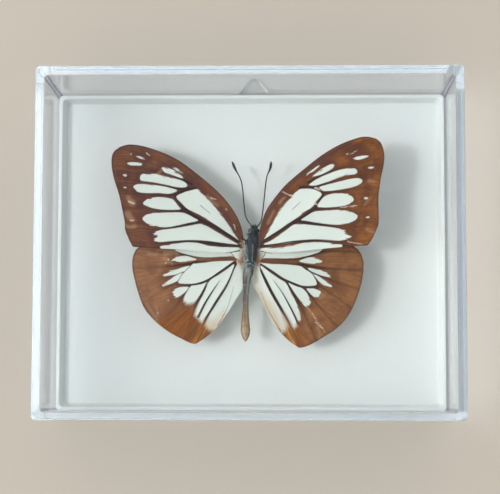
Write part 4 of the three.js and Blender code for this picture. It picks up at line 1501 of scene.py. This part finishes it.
SIDE_TUFTS = {  # name, seed of the first: middle, spread, way, length and number of hairs
    ("golden_tufts", 30): (
        ((-1.85, 1.3, 13.7), (0.2, 0.6, 0.12), (-1, 0.25, 0), 1.6, 90),
        ((2.25, 1.2, 13.7), (0.2, 0.6, 0.12), (1, 0.2, 0), 1.5, 90),
        ((-2.05, -3, 13.05), (0.2, 0.6, 0.12), (-1, -0.35, -0.1), 1.6, 210),
        ((1.75, -3, 13.05), (0.2, 0.6, 0.12), (1, -0.3, -0.1), 1.3, 190),
        ((1.75, -0.6, 13.2), (0.08, 1.0, 0.2), (0.6, -0.8, 0), 0.9, 110),
        ((-1.8, -0.6, 13.1), (0.1, 0.9, 0.2), (-0.7, -0.7, 0), 0.9, 90),
    ),
    ("cream_tufts", 40): (
        ((-1.8, -4.3, 12.7), (0.3, 0.5, 0.1), (-0.25, -1, 0), 2.4, 260),
        ((1.4, -4.2, 12.7), (0.3, 0.5, 0.1), (0.15, -1, 0), 2.4, 280),
        ((-2.2, -1.4, 12.9), (0.14, 0.7, 0.12), (-1, -0.2, 0), 1.5, 100),
        ((2.1, -1.4, 12.9), (0.14, 0.7, 0.12), (1, -0.2, 0), 1.4, 100),
        ((-1.75, -6.6, 12.66), (0.2, 1.1, 0.06), (-0.1, -1, 0), 2.2, 300),
        ((1.3, -6.8, 12.66), (0.26, 1.3, 0.06), (0.14, -1, 0), 2.3, 420),
    ),
}


def make_thorax(skin, fur, golden, cream):
    """A furry barrel with a lappet over each forewing's root and loose tufts down its sides."""
    thorax = loft("thorax_skin", THORAX, 20)
    subdivide_smoothly(thorax, 1)
    for side in (-1, 1):
        x = 0.42 + side * 1.42
        lappet = ball("lappet", (x, 1.75, 13.85), (0.5, 1.05, 0.42), 8)
        edit(lappet)
        bpy.ops.mesh.select_all(action="SELECT")
        bpy.ops.transform.rotate(
            value=side * -0.16, orient_axis="Z", center_override=place(x, 1.75, 13.85)
        )
        leave()
        combine(thorax, lappet, "UNION")
    smooth_faces(thorax, 60)
    finish_piece(thorax, skin, "body_hair", "thorax")
    coats = [
        coat_of(thorax, 6400, 21, (0, -1, 0.15), 0.26, 0.5, thorax_tint),
        tuft((-1.35, 0.2, 14), (0.14, 0.6, 0.14), (-0.5, -0.6, 0.6), 0.9, 170, 22, 0.9),
        tuft((-0.9, -4.6, 13.8), (0.3, 0.5, 0.1), (-0.2, -1, 0.2), 0.9, 140, 23, 0.85),
        tuft((0.85, 4.25, 13.6), (0.62, 0.3, 0.16), (0, -0.8, 0.6), 0.75, 420, 24, 0.12),
        tuft((-0.35, 4.1, 13.2), (0.12, 0.35, 0.3), (-0.6, -0.6, 0.4), 0.6, 150, 25, 0.45),
        tuft((1.95, 4.1, 13.2), (0.12, 0.35, 0.3), (0.6, -0.6, 0.4), 0.55, 150, 26, 0.1),
    ]
    grow("thorax_hair", together(coats), 0.08, fur, "body_hair")
    for (name, first_seed), tufts in SIDE_TUFTS.items():
        loose = [tuft(*one, seed, 0.5) for seed, one in enumerate(tufts, first_seed)]
        grow(name, together(loose), 0.07, golden if name == "golden_tufts" else cream, "body_hair")


def abdomen_station(y, swell=1.0):
    """The ring at y, for loft()."""
    middle = np.array(ABDOMEN_PATH)[::-1]
    halves = np.array(ABDOMEN_HALF)[::-1]
    half = swell * np.interp(y, halves[:, 0], halves[:, 1])
    return (
        np.interp(y, middle[:, 1], middle[:, 0]), y, np.interp(y, middle[:, 1], middle[:, 2]),
        half, 1.04 * half,
    )


def keep_abdomen_numbers(mesh, x, y):
    """Where each corner is along and across the abdomen, for its colours."""
    middles, _, _, halves, _ = abdomen_station(y)
    front, rear = ABDOMEN_PATH[0][1], ABDOMEN_PATH[-1][1]
    keep_numbers(mesh, "along", (front - y) / (front - rear))
    keep_numbers(mesh, "across", (x - middles) / np.maximum(halves, 0.3))


def make_abdomen(skin):
    """Ringed: each segment's rear edge lies a little over the next one."""
    stations = [abdomen_station(-4.9, 0.8), abdomen_station(-5.15)]
    for front, rear in zip(SEGMENTS, SEGMENTS[1:]):
        length = front - rear
        stations += [
            abdomen_station(front, 0.93),
            abdomen_station(front - 0.18 * length, 0.98),
            abdomen_station(front - 0.6 * length, 1.02),
            abdomen_station(rear + 0.16, 1.035),
            abdomen_station(rear + 0.06),
        ]
    stations += [abdomen_station(y) for y in (-24.9, -25.2, -25.5, -25.75, -25.88)]
    abdomen = loft("abdomen_skin", stations, 20)
    subdivide_smoothly(abdomen, 2)
    mesh = abdomen.data
    at = np.array([in_case(corner.co) for corner in mesh.vertices])
    keep_abdomen_numbers(mesh, at[:, 0], at[:, 1])
    keep_numbers(mesh, "tip", np.zeros(len(at)))
    smooth_faces(abdomen, 60)
    finish_piece(abdomen, skin, "abdomen_skin", "abdomen")
    coat = coat_of(abdomen, 2600, 51, (0, -1, 0.05), 0.1, 0.3, even_tint(0.5))
    down = grow("abdomen_hair", coat, 0.045, skin, "abdomen_skin")
    at = np.array([in_case(corner.co) for corner in down.data.vertices])
    keep_abdomen_numbers(down.data, at[:, 0], at[:, 1])


def make_feelers(horn):
    """Thin ringed shafts that swell into clubs."""
    for side, points in FEELERS.items():
        path = path_through(points, 0.16)
        t = np.linspace(0, 1, len(path))
        club = step(t, 0.8, 0.93)
        joint = np.where(np.arange(len(path)) % 3 == 0, 0.86, 1.04)
        end = np.sqrt(np.clip((1 - t) / 0.05, 0.02, 1))
        root = 1 + 0.7 * step(0.06 - t, 0, 0.05)
        feeler = tube(f"feeler_{side}_shaft", path, (0.18 + 0.2 * club) * joint * end * root, 12)
        smooth_faces(feeler, 60)
        finish_piece(feeler, horn, "horn", f"feeler_{side}")


def make_legs(horn):
    """Folded under the body: a thigh, a shin and a thin foot, with short spines."""
    for where, (hip, knee, toe) in LEGS.items():
        for sign, side in ((-1, "left"), (1, "right")):
            path = path_through([
                (sign * 0.75, hip - 0.1, 11.6), (sign * 1.1, hip, 10.95),
                (sign * 2.3, hip + knee, 10.3), (sign * 3.1, hip + 0.6 * knee, 9.9),
                (sign * 2.9, hip + toe, 9.7), (sign * 2.4, hip + 1.6 * toe, 9.6),
            ], 0.14)
            t = np.linspace(0, 1, len(path))
            thigh = 0.26 * np.exp(-(((t - 0.26) / 0.16) ** 2))
            shin = 0.13 * np.exp(-(((t - 0.58) / 0.12) ** 2))
            foot = 0.08 + 0.03 * np.cos(t * 60)
            halves = np.maximum(np.maximum(thigh, shin), foot) * np.clip((1.02 - t) / 0.06, 0.3, 1)
            leg = tube(f"leg_{where}_{side}_limb", path, halves, 12)
            smooth_faces(leg, 60)
            chance = np.random.default_rng(60 + len(where) + sign)
            spots = chance.integers(len(path) // 3, len(path) - 1, LEG_SPINES)
            away = unit(chance.normal(0, 1, (LEG_SPINES, 3)) + np.array([sign * 0.4, 0, -0.2]))
            roots = path[spots] + away * halves[spots, None] * 0.7
            lengths, tints = np.full(LEG_SPINES, 0.28), np.full(LEG_SPINES, 0.2)
            coat = (roots, away, 0.2 * away, lengths, tints)
            spines = grow(f"leg_{where}_{side}_spines", coat, 0.05, horn, "horn")
            spines.parent = None  # it joins the leg, which rides for both
            work_on(leg)
            spines.select_set(True)
            bpy.ops.object.join()
            finish_piece(leg, horn, "horn", f"leg_{where}_{side}")


def make_fringe(edges):
    """Short hairs along the wings' outer edges and soft ones along their inner edges."""
    coats = []
    for seed, sides in enumerate(edges, 70):
        chance = np.random.default_rng(seed)
        for label, first, gap, length in (("margin", 0, 0.075, 0.3), ("rear", 0.3, 0.12, 0.26)):
            edge = sides[label]
            whole = lengths_along(edge)[-1]
            count = int(whole * (1 - first) / gap)
            where = np.sort(chance.uniform(first, 1, count)) * whole
            roots = points_at(edge, where)
            ahead = points_at(edge, where + 0.2) - roots
            ahead[:, 0] += 1e-6  # the last hair has no edge ahead of it
            outward = unit(np.cross(unit(ahead), (0, 0, 1)))
            outward *= np.sign(((roots - sides["middle"]) * outward).sum(axis=1, keepdims=True))
            ways = outward + chance.normal(0, 0.22, (count, 3)) * np.array([1, 1, 0.4])
            sizes = length * chance.uniform(0.6, 1.2, count)
            bends = chance.normal(0, 0.1, (count, 3)) * np.array([1, 1, 0.5])
            coats.append((roots - 0.08 * outward, ways, bends, sizes, chance.random(count)))
    return together(coats)


# Hanger, foam and pin.

BAR_Y = 41.8  # the ring's straight side
RING_Z = 1.15
HALF_BAR = 9.2
APEX_Y = 54.4
WIRE = 0.5
BEND = 3.2
STRAP_WIDTH = 8.0
STRAP_BACK = 32.5
SHEET = 0.3
CURL = 0.8  # inside radius of the curl that holds the ring
RIVET_Y = 36.4
RIVET_RADIUS = 2.2
RIVET_RIM = 0.15
FOAM_SIDE = 5.0
FOAM_Y = -1.0
FOAM_BOTTOM = 5.0
FOAM_TOP = 9.4


def make_ring(steel):
    """A wire triangle with bent corners. The ends meet in the middle of its straight side."""
    corners = np.array([
        (HANGER_X + HALF_BAR, BAR_Y, RING_Z), (HANGER_X, APEX_Y, RING_Z),
        (HANGER_X - HALF_BAR, BAR_Y, RING_Z),
    ])
    path = []
    share = np.linspace(0, 1, 11)[:, None]
    for last, corner, following in zip(np.roll(corners, 1, 0), corners, np.roll(corners, -1, 0)):
        before = corner + BEND * unit(last - corner)
        after = corner + BEND * unit(following - corner)
        path.extend((1 - share) ** 2 * before + 2 * share * (1 - share) * corner + share**2 * after)
        far = following + BEND * unit(corner - following)
        path.extend(after + (far - after) * np.linspace(0, 1, 12)[1:-1, None])
    ring = tube("ring_wire", path, [WIRE] * len(path), 16, closed=True)
    smooth_faces(ring, 60)
    finish_piece(ring, steel, "hanger_steel", "hanger_ring", body="hanger")


def make_strap(steel):
    """A strip whose far end is rolled round the ring's straight side."""
    half = STRAP_WIDTH / 2
    under = RING_Z + CURL
    low = (HANGER_X - half, STRAP_BACK, under)
    strap = block("strap_sheet", low, (HANGER_X + half, BAR_Y, under + SHEET))
    edit(strap)
    pick_edges(lambda x, y, z, d: upright(x, y, z, d) and y < STRAP_BACK + 0.1)
    round_off(1.6, 5)
    pick_faces(lambda x, y, z, normal: normal.y > 0.9)
    bpy.ops.mesh.spin(
        steps=28, angle=math.radians(285), center=place(HANGER_X, BAR_Y, RING_Z), axis=(1, 0, 0)
    )
    face_outwards()
    leave()
    hole = ball("hole", (HANGER_X, RIVET_Y, under), (1.4, 1.4, 4), 16)
    combine(strap, hole, "DIFFERENCE")
    edit(strap)
    pick_edges(every)
    round_off(0.07, 2)
    face_outwards()
    leave()
    smooth_between_flats(strap)
    finish_piece(strap, steel, "hanger_steel", "hanger_strap")


def make_rivet(steel):
    """A domed head under the strap, with a shank that goes up into the tray."""
    top = RING_Z + WIRE
    nothing_selected()
    bpy.ops.mesh.primitive_cylinder_add(
        vertices=32, radius=RIVET_RADIUS * MM, depth=RIVET_RIM * MM,
        location=place(HANGER_X, RIVET_Y, top - RIVET_RIM / 2),
    )
    rivet = named_at_origin("rivet_body")
    edit(rivet)
    pick_faces(facing_down)
    for rise, width in ((0.12, 0.3), (0.1, 0.4), (0.05, 0.4)):
        extrude(z=-rise)
        shrink = 1 - width / RIVET_RADIUS
        bpy.ops.transform.resize(
            value=(shrink, shrink, 1), center_override=place(HANGER_X, RIVET_Y, 0)
        )
    inset(0.35)
    extrude(z=0.12)
    pick_faces(facing_up)
    inset(1.1)
    extrude(z=3.5 - top)
    pick_edges(lambda x, y, z, d: abs(d.z) < 0.2)
    round_off(0.04, 2)
    face_outwards()
    leave()
    smooth_between_flats(rivet)
    finish_piece(rivet, steel, "hanger_steel", "hanger_rivet")


def make_foam():
    """A cut block of fine foam: its cut edges are a little soft and its sides draw in."""
    half = FOAM_SIDE / 2
    foam = block("foam_cut", (-half, FOAM_Y - half, FOAM_BOTTOM), (half, FOAM_Y + half, FOAM_TOP))
    edit(foam)
    bpy.ops.mesh.select_all(action="SELECT")
    bpy.ops.mesh.subdivide(number_cuts=9)
    leave()
    at = np.array([in_case(corner.co) for corner in foam.data.vertices])
    tall = (FOAM_TOP - FOAM_BOTTOM) / 2
    span = (at - np.array([0, FOAM_Y, FOAM_BOTTOM + tall])) / np.array([half, half, tall])
    pull = 0.07 * (1 - span[:, 2] ** 2) * (np.abs(span[:, :2]).max(axis=1) > 0.99)
    near_pin = np.exp(-((np.hypot(at[:, 0], at[:, 1] - FOAM_Y) / 0.7) ** 2))
    sag = 0.14 * near_pin * (span[:, 2] > 0.99)
    at[:, :2] -= pull[:, None] * span[:, :2]
    at[:, 2] -= sag
    foam.data.vertices.foreach_set("co", ((at + np.array([0, CASE_Y, 0])) * MM).ravel())
    edit(foam)
    pick_edges(every)
    round_off(0.14, 2)
    face_outwards()
    leave()
    nothing_selected()
    bpy.ops.mesh.primitive_cylinder_add(
        vertices=24, radius=0.34 * MM, depth=4 * MM, location=place(0, FOAM_Y, 8.2)
    )
    combine(foam, named_at_origin("pin_way"), "DIFFERENCE")
    smooth_between_flats(foam, 50)
    finish_piece(foam, white_foam(), "white_foam", "foam_block")


def make_pin():
    """A headless pin with a long sharp point, from the foam into the thorax."""
    nothing_selected()
    bpy.ops.mesh.primitive_cylinder_add(
        vertices=20, radius=0.3 * MM, depth=3.2 * MM, location=place(0, FOAM_Y, 10.8)
    )
    pin = named_at_origin("pin_wire")
    edit(pin)
    pick_faces(facing_down)
    for fall, shrink in ((1.2, 0.8), (1.0, 0.6), (0.7, 0.25)):
        extrude(z=-fall)
        bpy.ops.transform.resize(value=(shrink, shrink, 1), center_override=place(0, FOAM_Y, 8))
    pick_faces(facing_up)
    inset(0.06)
    extrude(z=0.03)
    face_outwards()
    leave()
    smooth_faces(pin, 40)
    finish_piece(pin, plated_steel("pin_steel", srgb(196, 198, 200), 0.22), "pin_steel", "pin")


def make_insect():
    skin = body_skin()
    horn = dark_horn()
    fur = hair("dark_hair", srgb(42, 45, 54), srgb(112, 124, 130), srgb(222, 236, 234))
    golden = hair("golden_hair", srgb(132, 84, 54), srgb(196, 146, 104), srgb(238, 216, 190))
    cream = hair("cream_hair", srgb(186, 170, 148), srgb(222, 216, 200), srgb(240, 240, 232))
    brown = hair("fringe_hair", srgb(66, 42, 34), srgb(112, 74, 52), srgb(160, 124, 96))
    edges = make_wings()
    make_head(skin, fur, horn, compound_eye())
    make_thorax(skin, fur, golden, cream)
    make_abdomen(abdomen_skin())
    make_feelers(horn)
    make_legs(horn)
    for kind in ("forewing", "hindwing"):
        own = [sides for name, sides in edges.items() if name.startswith(kind)]
        grow(f"{kind}_fringe", make_fringe(own), 0.06, brown, f"{kind}_scales")


def make_hanger():
    steel = plated_steel("hanger_steel", srgb(206, 202, 192), 0.2)
    make_ring(steel)
    make_strap(steel)
    make_rivet(steel)


# Stage, lights and camera.


def light(name, centre, size, watts, colour):
    """A square soft lamp that looks at the case."""
    lamp = bpy.data.lights.new(name, "AREA")
    lamp.shape = "RECTANGLE"
    lamp.size = lamp.size_y = size
    lamp.energy = watts
    lamp.color = colour
    holder = bpy.data.objects.new(name, lamp)
    holder.location = centre
    holder.rotation_euler = (-Vector(centre)).to_track_quat("-Z", "Y").to_euler()
    bpy.context.collection.objects.link(holder)


def make_stage():
    nothing_selected()
    bpy.ops.mesh.primitive_plane_add(size=3.0, location=(0, 0, 0))
    floor = named_at_origin("floor")
    floor.data.materials.append(plain_floor())
    light("window", (-0.76, -0.05, 1.05), 0.17, 4.9, (1.0, 0.99, 0.98))
    light("fill", (0.45, 0.75, 0.8), 0.7, 0.9, (0.97, 0.99, 1.0))
    world = bpy.data.worlds.new("studio")
    world.use_nodes = True
    room = Nodes(world.node_tree)
    sky = world.node_tree.nodes["Background"]
    up = room.add("ShaderNodeSeparateXYZ")
    room.feed(up.inputs[0], room.add("ShaderNodeTexCoord").outputs["Generated"])
    overhead = room.ramp(up.outputs[2], 0.8, 0.96)  # dim, so that the cover doesn't mirror it
    walls, ceiling = (0.97, 1.0, 0.98, 1.0), (0.12, 0.12, 0.13, 1.0)
    room.feed(sky.inputs["Color"], room.blend(overhead, walls, ceiling))
    sky.inputs["Strength"].default_value = 0.8
    bpy.context.scene.world = world


def make_camera():
    """Nearly straight down from 35 cm, shifted so that the case fills the picture."""
    camera = bpy.data.cameras.new("camera")
    camera.sensor_width = 36
    camera.lens = 86.4
    camera.shift_x = -0.00706
    camera.shift_y = 0.12668
    camera.clip_start = 0.01
    holder = bpy.data.objects.new("camera", camera)
    holder.location = (0.0078583, -0.0429931, 0.3482986)
    holder.rotation_euler = (0.068, 0.0206, 0.002)
    bpy.context.collection.objects.link(holder)
    bpy.context.scene.camera = holder


make_cover()
make_tray()
make_insect()
make_foam()
make_pin()
make_hanger()
make_stage()
make_camera()
bpy.context.scene.view_settings.view_transform = "Standard"
